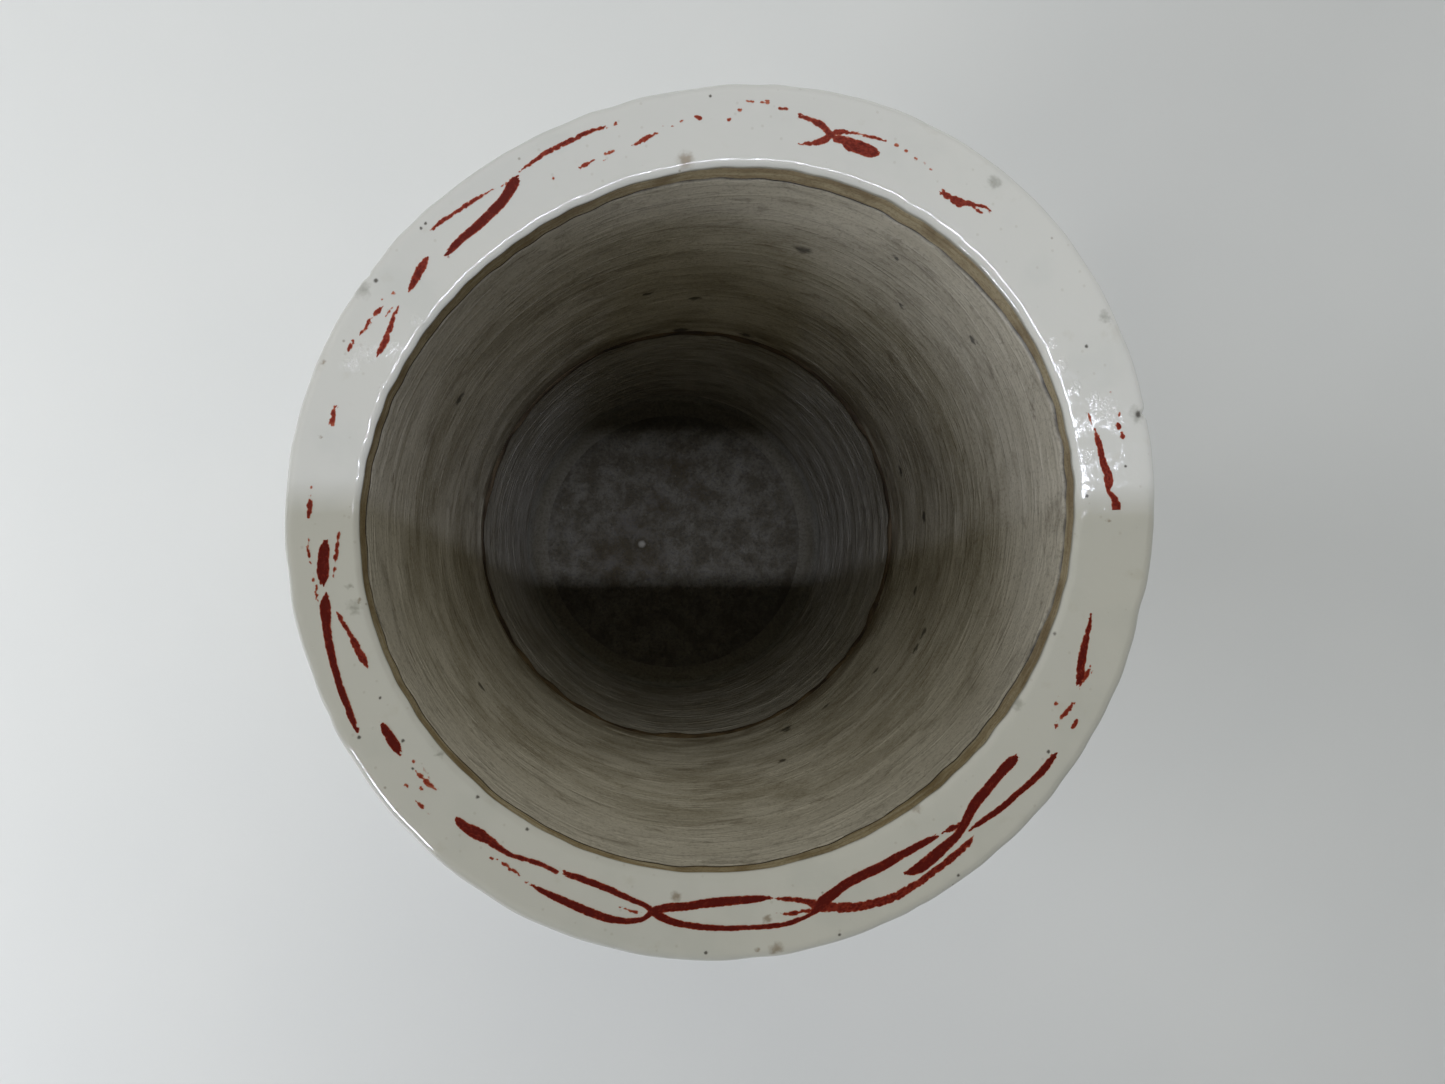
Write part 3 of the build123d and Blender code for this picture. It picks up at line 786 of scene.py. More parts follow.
def foot_detail(angle, radius, height):
    """Small losses and roughness on the foot's edges, always inward and upward."""
    worn = 0.10 * np.abs(lattice(angle, height, 160, 1.4, 51))
    worn = worn + 0.025 * np.abs(ripple(angle, 40, 120, 1.0, 52))
    top = height < FOOT_RING_TOP - 0.3
    middle = (FOOT_INNER + FOOT_OUTER) / 2
    radius = radius - top * worn * np.sign(radius - middle)
    edge = np.abs(radius - middle) > (FOOT_OUTER - FOOT_INNER) / 2 - 0.6
    return radius, height + edge * (height < 0.2) * worn


def bead_detail(angle, radius, height):
    """The squeezed-out slip stands proud by an uneven amount."""
    proud = np.clip(bore(height) - radius, 0, None)
    share = np.clip(0.55 + 0.5 * ripple(angle, 4, 40, 0.6, 61), 0.1, 1.5)
    return radius + proud * (1 - share), height


def make_pieces():
    """Every turned piece of the pot, by name."""
    made = {}
    made["glaze_coat"] = turned("glaze_coat", glaze_outline(), FINE, glaze_edges)

    ring = [(MOUTH_RADIUS, GLAZE_END), (MOUTH_RADIUS, SHOULDER_BOTTOM)] + clay_rim()
    ring += divided([(BODY_RADIUS, RIM_JOINT_TOP), (MOUTH_RADIUS, RIM_JOINT_TOP)], 3.0)
    ring += divided([(MOUTH_RADIUS, RIM_JOINT_TOP), (MOUTH_RADIUS, GLAZE_END)], 0.2)
    made["rim_ring_clay"] = turned("rim_ring_clay", ring[::-1], MEDIUM)

    made["rim_slip"] = wall_piece("rim_slip", RIM_JOINT_BOTTOM, RIM_JOINT_TOP, 0.1)
    made["upper_section"] = wall_piece("upper_section", SEAM_TOP, RIM_JOINT_BOTTOM, 0.8)
    made["lower_section"] = wall_piece("lower_section", WALL_BOTTOM, SEAM_BOTTOM, 0.8)

    bead = [(BODY_RADIUS, SEAM_BOTTOM), (BODY_RADIUS, SEAM_TOP), (SEAM_RADIUS, SEAM_TOP)]
    bead = divided(bead, 3.0)
    middle = (SEAM_BOTTOM + SEAM_TOP) / 2
    half = (BEAD_TOP - BEAD_BOTTOM) / 2
    proud = SEAM_RADIUS - BEAD_RADIUS
    for turn in np.radians(np.linspace(90, -90, 13)):
        z = middle + half * math.sin(turn)
        bead.append((bore(z) - proud * math.cos(turn) ** 2, z))
    bead.append((SEAM_RADIUS, SEAM_BOTTOM))
    made["middle_slip"] = turned("middle_slip", bead, MEDIUM, bead_detail)

    top, corner = (bore(COIL_TOP), COIL_TOP), (FLOOR_RADIUS, FLOOR_HEIGHT)
    cove = bend(top, corner, (COIL_EDGE, FLOOR_HEIGHT), 14)
    coil = divided([(COIL_EDGE, FLOOR_HEIGHT), corner, top], 2.0) + cove[:-1]
    made["floor_coil"] = turned("floor_coil", coil, MEDIUM)

    disc = divided([(0, BASE_BOTTOM), (BODY_RADIUS, BASE_BOTTOM), (BODY_RADIUS, FLOOR_HEIGHT),
                    (COIL_EDGE, FLOOR_HEIGHT)], 4.0)
    disc += divided([(COIL_EDGE, FLOOR_HEIGHT), (0, FLOOR_HEIGHT)], 0.8) + [(0, FLOOR_HEIGHT)]
    made["base_clay"] = turned("base_clay", disc, MEDIUM, floor_detail)

    under = [(0, BASE_GLAZE_BOTTOM), (BASE_GLAZE_RADIUS - 0.4, BASE_GLAZE_BOTTOM),
             (BASE_GLAZE_RADIUS - 0.1, BASE_GLAZE_BOTTOM + 0.12), (BASE_GLAZE_RADIUS, BASE_BOTTOM),
             (0, BASE_BOTTOM)]
    under = divided(under, 1.6) + [under[-1]]
    made["underside_glaze"] = turned("underside_glaze", under, MEDIUM, underside_detail)

    foot = [(FOOT_INNER + 0.3, 0), (FOOT_OUTER - 0.3, 0), (FOOT_OUTER, 0.18), (BODY_RADIUS, GLAZE_BOTTOM),
            (BODY_RADIUS, FOOT_RING_TOP), (FOOT_ROOT, FOOT_RING_TOP), (FOOT_INNER - 0.03, 0.2),
            (FOOT_INNER + 0.3, 0)]
    made["foot_clay_ring"] = turned("foot_clay_ring", divided(foot, 0.6), FINE, foot_detail)
    return made


def underside_detail(angle, radius, height):
    """The base's glaze sags a little and ends in a wavering edge."""
    edge = step(radius, BASE_GLAZE_RADIUS - 3, BASE_GLAZE_RADIUS)
    radius = radius + edge * np.minimum(ripple(angle, 3, 30, 0.35, 71) - 0.3, 0.2)
    sag = 0.10 * lattice(angle, radius, 6, 9.0, 72) * (height < BASE_BOTTOM - 0.2) * (1 - edge)
    return radius, height + np.abs(sag)


def wall_piece(name, bottom, top, spacing):
    """A turned wall from one joint to another, close-meshed on its inner face."""
    corners = [(bore(bottom), bottom), (BODY_RADIUS, bottom), (BODY_RADIUS, top), (bore(top), top)]
    outer = divided(corners, 6.0)
    close = max(bottom, top - 2.5)
    inner = divided([(bore(top), top), (bore(close), close)], min(spacing, 0.2))
    inner += divided([(bore(close), close), (bore(bottom), bottom)], spacing)
    return turned(name, outer + inner, MEDIUM)


# ---- The enamel's brush strokes ----

# Each stroke runs through (angle in degrees, radius, width) in millimetres. How strong it is comes
# first: 1 is a full brush and 0.3 a faint trace.
STROKES = (
    # the linked loops at the front
    (1.0, (324, 58.3, .9), (321.5, 58.3, 1), (319, 57.9, .9), (315, 57.5, .8), (312, 57.2, .8),
     (309, 56.8, .6), (307.2, 56.6, .25)),
    (1.0, (320.6, 54.1, .5), (319.5, 53.8, 1.2), (316, 53.8, 1.3), (312, 54.1, 1.4), (309.5, 54.6, 1.4),
     (307.5, 55.4, 1.2), (305.5, 56.1, 1.1), (303, 56.4, 1.4), (300.5, 56.7, 1.6), (298, 56.9, 1.4),
     (296.6, 56.75, .8), (295.8, 56.6, .2)),
    (0.8, (307.4, 57.6, .4), (306.3, 57.95, .8), (304, 58.2, 1), (300, 58.5, .9), (296, 58.8, 1),
     (292, 58.75, 1.2), (288, 58, 1.2), (285, 57.1, 1.4), (282.8, 56.2, 1.5), (281, 55.2, .7),
     (278.5, 54.3, .6), (276.5, 53.8, .3)),
    (1.0, (306.8, 55.1, .6), (305, 54.8, .8), (304, 54.6, .5)),
    (1.0, (303.3, 54.5, .5), (301.5, 54.3, .8), (298, 54.1, 1), (294, 54.1, 1.3), (290, 54.2, 1.3),
     (287, 54.5, 1.3), (285, 55.2, 1.4), (283.2, 55.9, 1.6), (281.5, 57, .6), (279, 57.45, .6),
     (275, 57.55, .6), (270, 57.3, .6), (265, 57, .8), (261.5, 56.5, .9), (259, 55.7, 1),
     (257.5, 54.9, .6), (255, 54.35, .7), (251.5, 53.7, .8), (247, 53.5, .8), (244.5, 53.6, .8)),
    (1.0, (276, 53.6, .4), (274.2, 53.55, .8), (271, 53.5, 1.1), (267, 53.7, 1.2), (263, 54.3, 1.1),
     (260, 54.8, 1.1), (258.5, 55.4, .9), (257.6, 56.5, .6), (256, 57.2, .7), (253.5, 57.6, .9),
     (250, 57.4, 1.1), (246.5, 57.15, 1), (243.5, 57, .7), (241, 56.9, .3)),
    (0.8, (281.5, 56.6, .5), (279, 56.35, .5), (276.4, 55.95, .2)),
    (0.7, (257, 55.95, .3), (255.5, 55.9, .35), (253.8, 55.8, .3)),
    (0.9, (243.4, 53.8, .7), (241, 53.85, .6), (238, 54.4, .6), (236.2, 54.8, .6), (234.5, 54.8, .8),
     (233, 54.65, 1.1), (231, 54.85, 1.6), (229, 55.15, 1.2), (227.6, 55.2, .8), (227.1, 55.2, .2)),
    (0.6, (239.2, 56.5, .3), (237.5, 56.35, .5), (235.3, 56.2, .4)),
    # the left side
    (0.45, (222.6, 54.3, .5), (221, 54.45, .7), (219.5, 54.6, .6), (218.3, 54.7, .3)),
    (0.3, (220.6, 54, .4), (219.3, 53.6, .5), (218, 53.3, .4)),
    (0.5, (224.4, 57.2, .2), (222.8, 57.25, .4), (221.2, 57.2, .2)),
    (1.0, (215.4, 55, .4), (214.3, 54.9, 1.2), (212.5, 54.85, 1.2), (211, 54.85, .9), (210, 54.9, .3)),
    (1.0, (209.4, 58.1, .7), (206, 57.85, .85), (202, 57.6, .85), (198, 57.3, 1), (194.5, 56.8, 1.1),
     (192, 56.4, 1.3), (190.6, 56, .4)),
    (0.8, (202.4, 53.2, .3), (201.3, 53.4, .9), (198.5, 53.9, .9), (196, 54.4, .5), (194.2, 54.9, .5),
     (193, 55.3, .2)),
    (1.0, (189.3, 56.3, .7), (188.3, 56.3, 1.4), (186, 56.1, 1.4), (184.3, 55.8, 1.2), (183, 55.5, .3)),
    (0.6, (191.3, 57.3, .4), (190.2, 57.4, .5), (189.3, 57.3, .4)),
    (0.5, (188.5, 57.6, .2), (187.7, 57.6, .2)),
    (0.7, (186.6, 57.8, .2), (184.5, 57.9, .4), (182.3, 57.85, .35)),
    (0.7, (189.3, 55.1, .25), (186.5, 54.55, .4), (183.5, 54, .35), (181.2, 53.6, .15)),
    (0.8, (180.2, 57.9, .3), (179.3, 57.8, .7), (178, 57.8, .7), (176.9, 57.95, .2)),
    # the back
    (0.7, (166.9, 56.7, .9), (165.2, 56.9, .7), (164.3, 56.9, .5)),
    (0.7, (157, 58.1, .4), (156, 58.15, .6), (155.2, 58.1, .5)),
    (0.7, (153.9, 57.7, .5), (152.7, 57.45, .6), (151.7, 57.5, .7)),
    (0.7, (151.1, 57.4, .4), (150, 57.2, .8), (149, 57, .6)),
    (0.5, (150, 56, .4), (148.5, 55.9, .3)),
    (0.75, (155.6, 54.35, .5), (153.5, 54.3, .8), (151.5, 54.6, .7), (149.5, 55, .5), (147.5, 55.25, .2)),
    (0.75, (145.5, 55.35, .35), (143.5, 55.6, .9), (142, 55.9, 1.1), (140.5, 56.1, .9), (139.2, 56.2, .4)),
    (1.0, (137.5, 54.6, .7), (135, 54.7, .9), (131.5, 54.7, 1.1), (128.5, 54.85, 1.25), (126, 55.3, 1.3),
     (124.3, 55.9, 1.4), (122.8, 56.6, 1.2), (122.3, 56.9, .5)),
    (0.5, (125, 56.9, .2), (123, 57.2, .3)),
    (0.8, (136.5, 58.35, .3), (134, 58.2, .5), (131, 57.9, .5), (128, 57.5, .45), (125.9, 57.35, .2)),
    (0.8, (121.7, 57.4, .2), (119.5, 57.65, .5), (116, 57.9, .6), (112.5, 58.15, .6), (109.5, 58.2, .5),
     (107.7, 58.1, .5)),
    (0.6, (113.9, 54.2, .4), (112.5, 54.25, .5), (111.2, 54.3, .3)),
    (0.5, (110.7, 53.8, .35), (109, 53.75, .35)),
    (0.4, (109.3, 54.5, .3), (108, 54.6, .3)),
    (0.6, (105.1, 54.6, .5), (103.5, 54.95, .6), (102, 55.35, .5), (100.8, 55.6, .3)),
    (0.4, (100.2, 56.4, .2), (98.6, 56.1, .2)),
    (0.45, (88, 59.1, .3), (87.2, 59.05, .3)),
    (0.45, (86, 59, .3), (85, 58.9, .25)),
    # the crossed strokes at the top
    (0.8, (80.5, 57.7, .7), (79, 57.4, .6), (77.3, 57, 1), (76, 56.3, .9), (75.2, 55.8, .9),
     (73.5, 55.6, 1.4), (72, 55.35, 2), (70.3, 55.4, 1.8), (69, 55.4, 1.6), (68.2, 55.5, .7)),
    (0.7, (79.9, 53.6, .4), (78.5, 54, .5), (77, 54.6, .8), (75.9, 55.4, 1), (74.9, 56.5, .9),
     (73.2, 56.95, .4), (71, 57.3, .6), (69, 57.5, .4), (67.5, 57.6, .3)),
    # the right side
    (0.75, (57.2, 54.8, 1.1), (55.8, 55, .9), (54.2, 55.2, 1.3), (53.2, 55.8, .7), (52, 56.4, .4),
     (51, 56.9, .6), (50.1, 57, .6)),
    (0.7, (52.4, 55.95, .6), (51.5, 55.85, .6), (50.4, 56.2, .35)),
    (0.8, (13.9, 53.7, .6), (12.5, 53.8, .9), (10.5, 54, .8), (8.5, 54.25, .9), (7, 54.5, 1.2),
     (5.6, 54.65, 1.2), (4.4, 54.6, .7), (3.6, 55.1, .8), (2.6, 55.6, 1.2), (1.8, 55.7, 1.5),
     (1.2, 55.6, 1)),
    (0.4, (18.2, 53.2, .3), (16.5, 53.4, .4), (14.8, 53.6, .4)),
    (0.9, (345.2, 54.1, .4), (343.5, 54.35, .6), (341, 54.6, .9), (339, 54.8, 1.1), (337, 55.3, 1.1),
     (335.5, 55.8, 1.1), (334.6, 56, .7)),
    (0.6, (337.8, 56.4, .3), (336.3, 56.5, .6), (335, 56.3, .5), (334, 56.5, .25)),
    (0.65, (331.8, 56.4, .8), (330.4, 56.4, .7), (329, 56.1, .5), (327.4, 56.1, .6)),
    (0.6, (329.7, 58.3, .5), (328.7, 58.3, .6)),
    (0.5, (331.5, 54.35, .4), (330.4, 54.35, .5)),
)
# Single touches: strength, angle, radius and diameter.
TOUCHES = (
    (0.6, 234.6, 56.5, .3), (0.6, 240.3, 56.8, .3), (0.5, 219.3, 56.9, .3), (0.6, 175.9, 57.8, .35),
    (0.6, 106.6, 58.2, .5), (0.5, 118, 54.3, .3), (0.5, 116.5, 54.4, .35), (0.65, 94.9, 56.9, .8),
    (0.6, 90.5, 56.3, .4), (0.5, 89, 57.7, .3), (0.7, 83.2, 58.3, .4), (0.7, 82.6, 58.4, .4),
    (0.5, 18.7, 57.3, .3), (0.7, 15.2, 57.8, .5), (0.8, 13.6, 57.3, .8), (0.7, 12.2, 57.6, .75),
    (0.45, 66.2, 57.7, .35), (0.4, 64.6, 57.5, .4), (0.4, 62.9, 57.2, .3), (0.35, 61.6, 57.3, .35),
    (0.4, 60.3, 56.9, .3), (0.5, 97.4, 56.6, .35), (0.45, 85.2, 59.2, .3), (0.4, 148.2, 57.6, .3),
    (0.4, 146.6, 57.0, .3), (0.5, 220.9, 55.6, .35), (0.4, 217.4, 54.1, .3), (0.4, 337.1, 57.2, .3),
)
GRID = 0.13              # spacing of the enamel's mesh
ENAMEL_RISE = 0.05       # how far the enamel stands above the glaze
ENAMEL_DEPTH = 0.03      # and how far it reaches into it
TORN_END = 1.4           # how far the ends of a stroke are torn
MIDDLE_RADIUS = 56.0     # arc lengths along the rim are reckoned here
BORDER = (52.2, 60.0)    # the radii between which the strokes lie
ONCE_ROUND = (0.004, 0.998)     # the shares of a turn where the painted border starts and ends


def smooth_path(stations):
    """Close points along a stroke: distance along the rim, radius, half width and share of the way."""
    stations = np.array(stations, float)
    along = np.radians(stations[:, 0]) * MIDDLE_RADIUS
    knots = np.concatenate([[0], np.cumsum(np.hypot(np.diff(along), np.diff(stations[:, 1])))])
    fine = np.linspace(0, knots[-1], max(4, int(knots[-1] / 0.06)))
    columns = []
    for values in (along, stations[:, 1], stations[:, 2] / 2):
        slopes = np.gradient(values, knots)
        place = np.clip(np.searchsorted(knots, fine, side="right") - 1, 0, len(knots) - 2)
        span = knots[place + 1] - knots[place]
        t = (fine - knots[place]) / span
        columns.append(
            (2 * t**3 - 3 * t**2 + 1) * values[place] + (t**3 - 2 * t**2 + t) * span * slopes[place]
            + (3 * t**2 - 2 * t**3) * values[place + 1] + (t**3 - t**2) * span * slopes[place + 1]
        )
    return np.stack(columns + [fine], axis=-1)


GRAINS = 257             # how many random values a speckle has each way before it repeats


def speckle(x, y, size, seed):
    """Smooth random values from -1 to 1 over a flat grid of points."""
    draw = np.random.default_rng(seed)
    values = draw.uniform(-1, 1, (GRAINS, GRAINS))
    u, v = np.asarray(x) / size, np.asarray(y) / size
    i, j = np.floor(u).astype(int), np.floor(v).astype(int)
    s, t = eased(u - i), eased(v - j)
    i, j, i1, j1 = (k % GRAINS for k in (i, j, i + 1, j + 1))
    low = values[i, j] * (1 - s) + values[i1, j] * s
    high = values[i, j1] * (1 - s) + values[i1, j1] * s
    return low * (1 - t) + high * t


def enamel_field():
    """How deep each point of the rim lies inside a stroke, and how much pigment it holds."""
    along = np.arange(*(share * FULL_TURN * MIDDLE_RADIUS for share in ONCE_ROUND), GRID)
    radii = np.arange(*BORDER, GRID)
    depth = np.full((len(along), len(radii)), -1.0)
    pigment = np.zeros_like(depth)
    strokes = [(row[0], smooth_path(row[1:])) for row in STROKES]
    for strength, degrees, radius, size in TOUCHES:
        place = math.radians(degrees) * MIDDLE_RADIUS
        spot = np.array([[place - 0.1, radius, size / 2, 0], [place + 0.1, radius, size / 2, 0.2]])
        strokes.append((strength, spot))
    for number, (strength, path) in enumerate(strokes):
        first = np.searchsorted(along, path[:, 0].min() - 1.2)
        last = np.searchsorted(along, path[:, 0].max() + 1.2)
        low = np.searchsorted(radii, path[:, 1].min() - 1.4)
        high = np.searchsorted(radii, path[:, 1].max() + 1.4)
        a, r = np.meshgrid(along[first:last], radii[low:high], indexing="ij")
        nearest = np.full(a.shape, 9.0)
        width = np.ones(a.shape)
        way = np.zeros(a.shape)
        side = np.zeros(a.shape)
        for x, y, half, t in path:
            away = np.hypot(a - x, r - y)
            closer = away - half < nearest - width
            nearest, width = np.where(closer, away, nearest), np.where(closer, half, width)
            way, side = np.where(closer, t, way), np.where(closer, r - y, side)
        inside = width - nearest
        hairs = speckle(way / 1.6 + 9 * number, side * 1.0, 0.16, 81)
        worn = speckle(a, r, 0.55, 82)
        fray = 0.09 * speckle(a, r, 0.30, 83) + 0.07 * speckle(a, r, 0.75, 84) + 0.08 * hairs
        inside = inside + 0.10 + fray * (1.28 - strength) - (1.08 - strength) * 0.75 * np.clip(worn, 0, 1)
        if path[-1, 3] > TORN_END:
            to_end = np.minimum(way, path[-1, 3] - way)
            inside = inside - 0.42 * np.clip(1 - to_end / TORN_END, 0, 1) * np.clip(hairs + 0.35, 0, 1)
        pool = np.clip(inside / 0.28, 0, 1)
        amount = strength * (0.72 + 0.30 * hairs * (1.3 - 0.7 * strength) + 0.22 * pool) - 0.10 * worn
        held = pigment[first:last, low:high]
        laid = np.maximum(held, amount * np.clip(inside / 0.12, 0.25, 1))
        pigment[first:last, low:high] = np.where(inside > 0, laid, held)
        depth[first:last, low:high] = np.maximum(depth[first:last, low:high], inside)
    return along, radii, depth, pigment


def enamel_piece(name):
    """The strokes as one thin raised mesh, cut along the edge of the paint."""
    along, radii, depth, pigment = enamel_field()
    inside = depth > 0
    corner_of, edge_of, flat, shade = {}, {}, [], []

    def corner(i, j):
        if (i, j) not in corner_of:
            corner_of[i, j] = len(flat)
            flat.append((along[i], radii[j]))
            shade.append(pigment[i, j])
        return corner_of[i, j]

    def crossing(p, q):
        key = (min(p, q), max(p, q))
        if key not in edge_of:
            (i, j), (k, m) = key
            share = np.clip(depth[i, j] / (depth[i, j] - depth[k, m]), 0.1, 0.9)
            edge_of[key] = len(flat)
            x, y = along[i] + share * (along[k] - along[i]), radii[j] + share * (radii[m] - radii[j])
            flat.append((x, y))
            shade.append(0.35 * max(pigment[i, j], pigment[k, m]))
        return edge_of[key]

    top = []
    some = inside[:-1, :-1] | inside[1:, :-1] | inside[:-1, 1:] | inside[1:, 1:]
    for i, j in zip(*np.nonzero(some)):
        around = [(i, j), (i + 1, j), (i + 1, j + 1), (i, j + 1)]
        face = []
        for p, q in zip(around, around[1:] + around[:1]):
            if inside[p]:
                face.append(corner(*p))
            if inside[p] != inside[q]:
                face.append(crossing(p, q))
        top.append(tuple(face))
    flat = np.array(flat)
    degrees = np.degrees(flat[:, 0] / MIDDLE_RADIUS)
    upper = on_rim(degrees, flat[:, 1], POT_HEIGHT + ENAMEL_RISE)
    lower = on_rim(degrees, flat[:, 1], POT_HEIGHT - ENAMEL_DEPTH)
    count = len(flat)
    used = {(face[n], face[(n + 1) % len(face)]) for face in top for n in range(len(face))}
    sides = [(b, a, a + count, b + count) for a, b in used if (b, a) not in used]
    # along runs with the angle, so faces that turn from it to the radius look down
    top = [face[::-1] for face in top]
    sides = [side[::-1] for side in sides]
    bottom = [tuple(n + count for n in face[::-1]) for face in top]
    piece = build(name, np.vstack([upper, lower]), top + bottom + sides, sharp=50)
    note(piece, "pigment", shade + shade)
    return piece


# ---- Stage ----


def flat_plane(name, width, depth, place):
    """A level rectangle."""
    x, y = width / 2, depth / 2
    mesh = bpy.data.meshes.new(name)
    mesh.from_pydata([(-x, -y, 0), (x, -y, 0), (x, y, 0), (-x, y, 0)], [], [(0, 1, 2, 3)])
    plane = bpy.data.objects.new(name, mesh)
    plane.location = place
    bpy.context.scene.collection.objects.link(plane)
    return plane


def make_table():
    """A plain pale table top."""
    table = flat_plane("table", 5, 5, (0, 0, 0))
    f = Finish("table_top")
    colour = f.mix(f.noise(60, detail=2.0), tone(204, 208, 211), tone(210, 213, 215))
    f.set(Base_Color=colour, Roughness=0.55, Normal=f.bump(f.noise(2.0), 0.02))
    table.data.materials.append(f.material)
    return table


def make_backdrop():
    """A plain pale wall round the table. It shows to the camera and in reflections, and it gives
    the pot no other light and no shade."""
    segments, radius, height = 96, 2.45, 3.2
    turns = np.arange(segments) * FULL_TURN / segments
    foot = [(radius * math.cos(t), radius * math.sin(t), -height) for t in turns]
    head = [(x, y, height) for x, y, _ in foot]
    following = [(i + 1) % segments for i in range(segments)]
    faces = [(i, k, k + segments, i + segments) for i, k in enumerate(following)]
    mesh = bpy.data.meshes.new("backdrop")
    mesh.from_pydata(foot + head, [], faces)
    mesh.shade_smooth()
    backdrop = bpy.data.objects.new("backdrop", mesh)
    bpy.context.scene.collection.objects.link(backdrop)
    for kind in ("diffuse", "transmission", "volume_scatter", "shadow"):
        setattr(backdrop, "visible_" + kind, False)
    f = Finish("backdrop_grey")
    f.set(Base_Color=tone(0, 0, 0), Roughness=1.0, Specular_IOR_Level=0.0)
    f.set(Emission_Color=tone(150, 152, 153), Emission_Strength=1.0)
    f.material.cycles.emission_sampling = "NONE"
    mesh.materials.append(f.material)


def area_light(name, place, target, size, power, colour=(1, 1, 1), onto=None, past=None, unseen=None):
    """A rectangular light of a size across and along, looking at a target. It may shine onto some
    objects only, go past one that would block it, and give no diffuse or no glossy light."""
    light = bpy.data.lights.new(name, "AREA")
    light.shape = "RECTANGLE"
    light.size, light.size_y = size
    light.energy = power
    light.color = colour
    lamp = bpy.data.objects.new(name, light)
    lamp.location = place
    lamp.rotation_euler = (Vector(target) - Vector(place)).to_track_quat("-Z", "Y").to_euler()
    lamp.light_linking.receiver_collection = onto
    lamp.light_linking.blocker_collection = past
    lamp.visible_diffuse = unseen != "diffuse"
    lamp.visible_glossy = unseen != "glossy"
    bpy.context.scene.collection.objects.link(lamp)


def linked(name, members, state):
    """A collection that a lamp shines on or is blocked by: only its members, or all but them."""
    group = bpy.data.collections.new(name)
    for member in members:
        group.objects.link(member)
    for link in group.collection_objects:
        link.light_linking.link_state = state
    return group


TUBE_HEIGHT = 3.0       # of the overhead tube above the pot, in metres
TUBE_BACK = 0.222       # how far it hangs behind the pot's axis
FLAG_HEIGHT = 0.157     # of the flag above the pot
FLAG_EDGE = 0.0144      # where the flag's far edge is
FLAG_SIZE = (1.0, 0.5)
COOL, WARM, NEUTRAL = (0.80, 0.84, 1.0), (1.0, 0.98, 0.86), (1.0, 1.0, 0.95)


def make_lights(table, glazed):
    """A long tube overhead with a flag below it that shades the pot's near half but not the table, a
    large soft panel at the back, a window at the front left, and a dim room. Bare clay, glaze and
    the table each have the tube at a strength of their own, and so do the tube's reflections."""
    top = POT_HEIGHT * MM
    flag = flat_plane("flag", *FLAG_SIZE, (0, FLAG_EDGE - FLAG_SIZE[1] / 2, top + FLAG_HEIGHT))
    flag.visible_camera = False
    flag.visible_diffuse = False
    flag.visible_transmission = False
    black = Finish("flag_black")
    black.set(Base_Color=tone(4, 4, 4), Roughness=0.9)
    flag.data.materials.append(black.material)
    past_flag = linked("not_the_flag", [flag], "EXCLUDE")
    only_table = linked("the_table", [table], "INCLUDE")
    only_glaze = linked("the_glaze", glazed[:1], "INCLUDE")
    glaze_and_paint = linked("glaze_and_paint", glazed, "INCLUDE")
    bare_clay = linked("bare_clay", [table] + glazed, "EXCLUDE")

    def tube(name, x, size, power, **rest):
        place, target = (x, TUBE_BACK, top + TUBE_HEIGHT), (x, TUBE_BACK, 0)
        area_light(name, place, target, size, power, COOL, **rest)

    tube("tube_on_clay", 0.08, (2.36, 0.05), 38, onto=bare_clay)
    tube("tube_on_glaze", 0.28, (1.96, 0.09), 31, onto=glaze_and_paint, unseen="glossy")
    tube("tube_glint", 0.53, (1.46, 0.11), 91, onto=only_glaze, unseen="diffuse")
    tube("tube_on_table", 0.28, (1.96, 0.05), 12, onto=only_table, past=past_flag)
    area_light("window_on_table", (-0.9, 0.0, 0.6), (-0.2, 0, 0), (0.6, 0.6), 7, onto=only_table)
    window, middle = (-1.5, -1.3, 0.95), (0, 0, 0.2)
    area_light("window_panel", window, middle, (0.7, 1.2), 12, NEUTRAL, past=past_flag, unseen="glossy")
    area_light("window_glint", window, middle, (0.5, 0.4), 36, COOL, past=past_flag, unseen="diffuse")
    area_light("ceiling_panel", (0.1, 1.3, 1.9), middle, (2.4, 1.8), 18, WARM, unseen="glossy")
    overhead = (0, 0, top + 2.0)
    area_light("overhead_panel", overhead, (0, 0, 0), (1.6, 1.6), 2.8, WARM, past=past_flag, unseen="glossy")
    world = bpy.data.worlds.new("soft_room")
    world.use_nodes = True
    background = world.node_tree.nodes["Background"]
    background.inputs["Color"].default_value = (*WARM, 1.0)
    background.inputs["Strength"].default_value = 0.05
    bpy.context.scene.world = world


LENS, SENSOR = 27.03, 36                        # the camera's focal length and film width in mm
CAMERA_PLACE = (-0.01385, -0.00545, 0.3797)     # in metres
CAMERA_TILT = (0.8114, -4.6902, 0)              # in degrees, from looking straight down


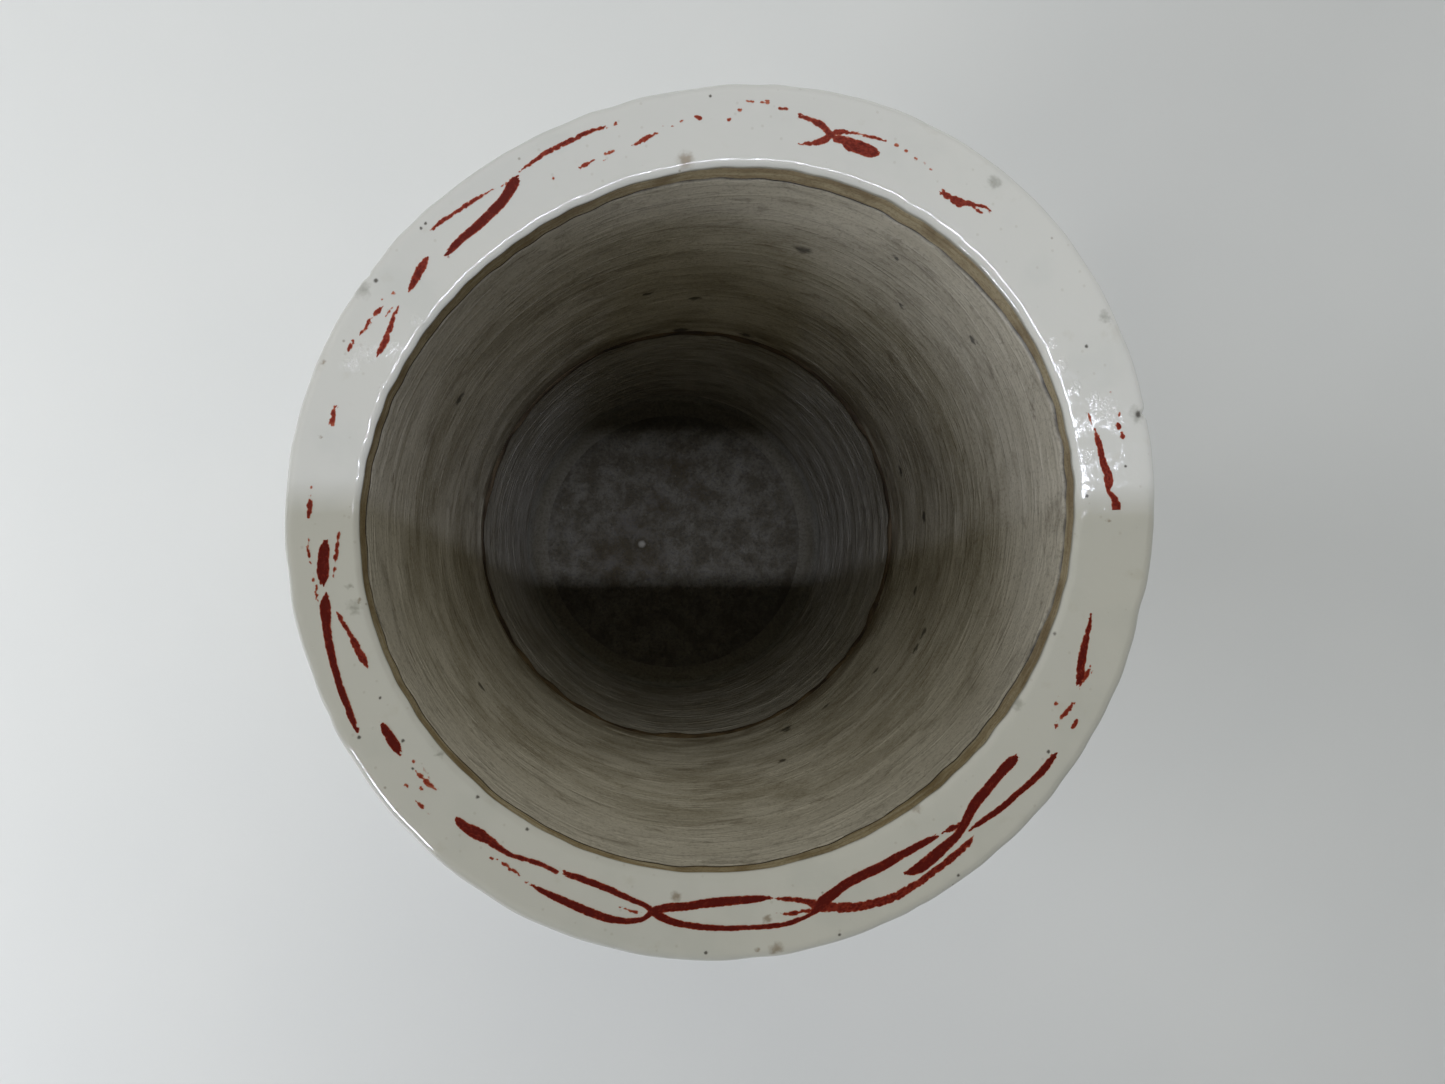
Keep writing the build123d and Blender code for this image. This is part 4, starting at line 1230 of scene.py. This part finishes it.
def make_camera():
    """Looks straight down into the pot from a hand's height above it."""
    camera = bpy.data.cameras.new("camera")
    camera.lens = LENS
    camera.sensor_width = SENSOR
    camera.clip_start = 0.01
    holder = bpy.data.objects.new("camera", camera)
    holder.location = CAMERA_PLACE
    holder.rotation_euler = [math.radians(turn) for turn in CAMERA_TILT]
    bpy.context.scene.collection.objects.link(holder)
    bpy.context.scene.camera = holder
    view = bpy.context.scene.view_settings
    view.view_transform = "Standard"
    view.gamma = 1.25


def finish_piece(piece, node, material):
    """A piece rides on the pot, stands for its CAD piece and gets its material."""
    piece.data.materials.append(material)
    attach(piece, "root")
    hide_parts(node)


make_camera()
table = make_table()
make_backdrop()
pieces = make_pieces()
pieces["painted_border"] = enamel_piece("painted_border")
make_lights(table, [pieces["glaze_coat"], pieces["painted_border"]])

upper_tones = (tone(184, 178, 162), tone(146, 139, 121), tone(80, 68, 48))
lower_tones = (tone(172, 168, 158), tone(132, 126, 112), tone(66, 55, 40))
upper_clay = inner_clay("upper_clay", *upper_tones, gloss=(0.6, 0.85), ridge=0.14, marked=True)
lower_clay = inner_clay("lower_clay", *lower_tones, gloss=(0.28, 0.55), ridge=0.42)
joint_slip = slip_clay("joint_slip", tone(82, 68, 48), tone(44, 34, 23))
# Painted shade: the rim's joint slip is near black, darker than its dirt, standing in for the shadow in its
# crack.
rim_slip = slip_clay("rim_slip", tone(52, 41, 27), tone(22, 16, 10))
clay, glaze, slip = "stoneware_clay", "white_glaze", "slip"
for name, node, slot, material in (
    ("glaze_coat", "outer_glaze", glaze, white_glaze("white_glaze", marked=True)),
    ("rim_ring_clay", "rim_ring", clay, band_clay("band_clay")),
    ("rim_slip", "rim_slip_joint", slip, rim_slip),
    ("upper_section", "upper_wall", clay, upper_clay),
    ("middle_slip", "middle_slip_joint", slip, joint_slip),
    ("lower_section", "lower_wall", clay, lower_clay),
    ("floor_coil", "corner_coil", slip, coil_clay("coil_clay")),
    ("base_clay", "base_disc", clay, floor_clay("floor_clay")),
    ("underside_glaze", "base_glaze", glaze, white_glaze("base_glaze_white", marked=False)),
    ("foot_clay_ring", "foot_ring", clay, foot_clay("foot_clay")),
    ("painted_border", "rim_enamel", "iron_red_enamel", red_enamel("iron_red_enamel")),
):
    finish_piece(pieces[name], node, material)
for name in ("foot_slip_joint", "base_slip_joint"):
    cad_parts[name].data.materials.clear()
    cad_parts[name].data.materials.append(joint_slip)
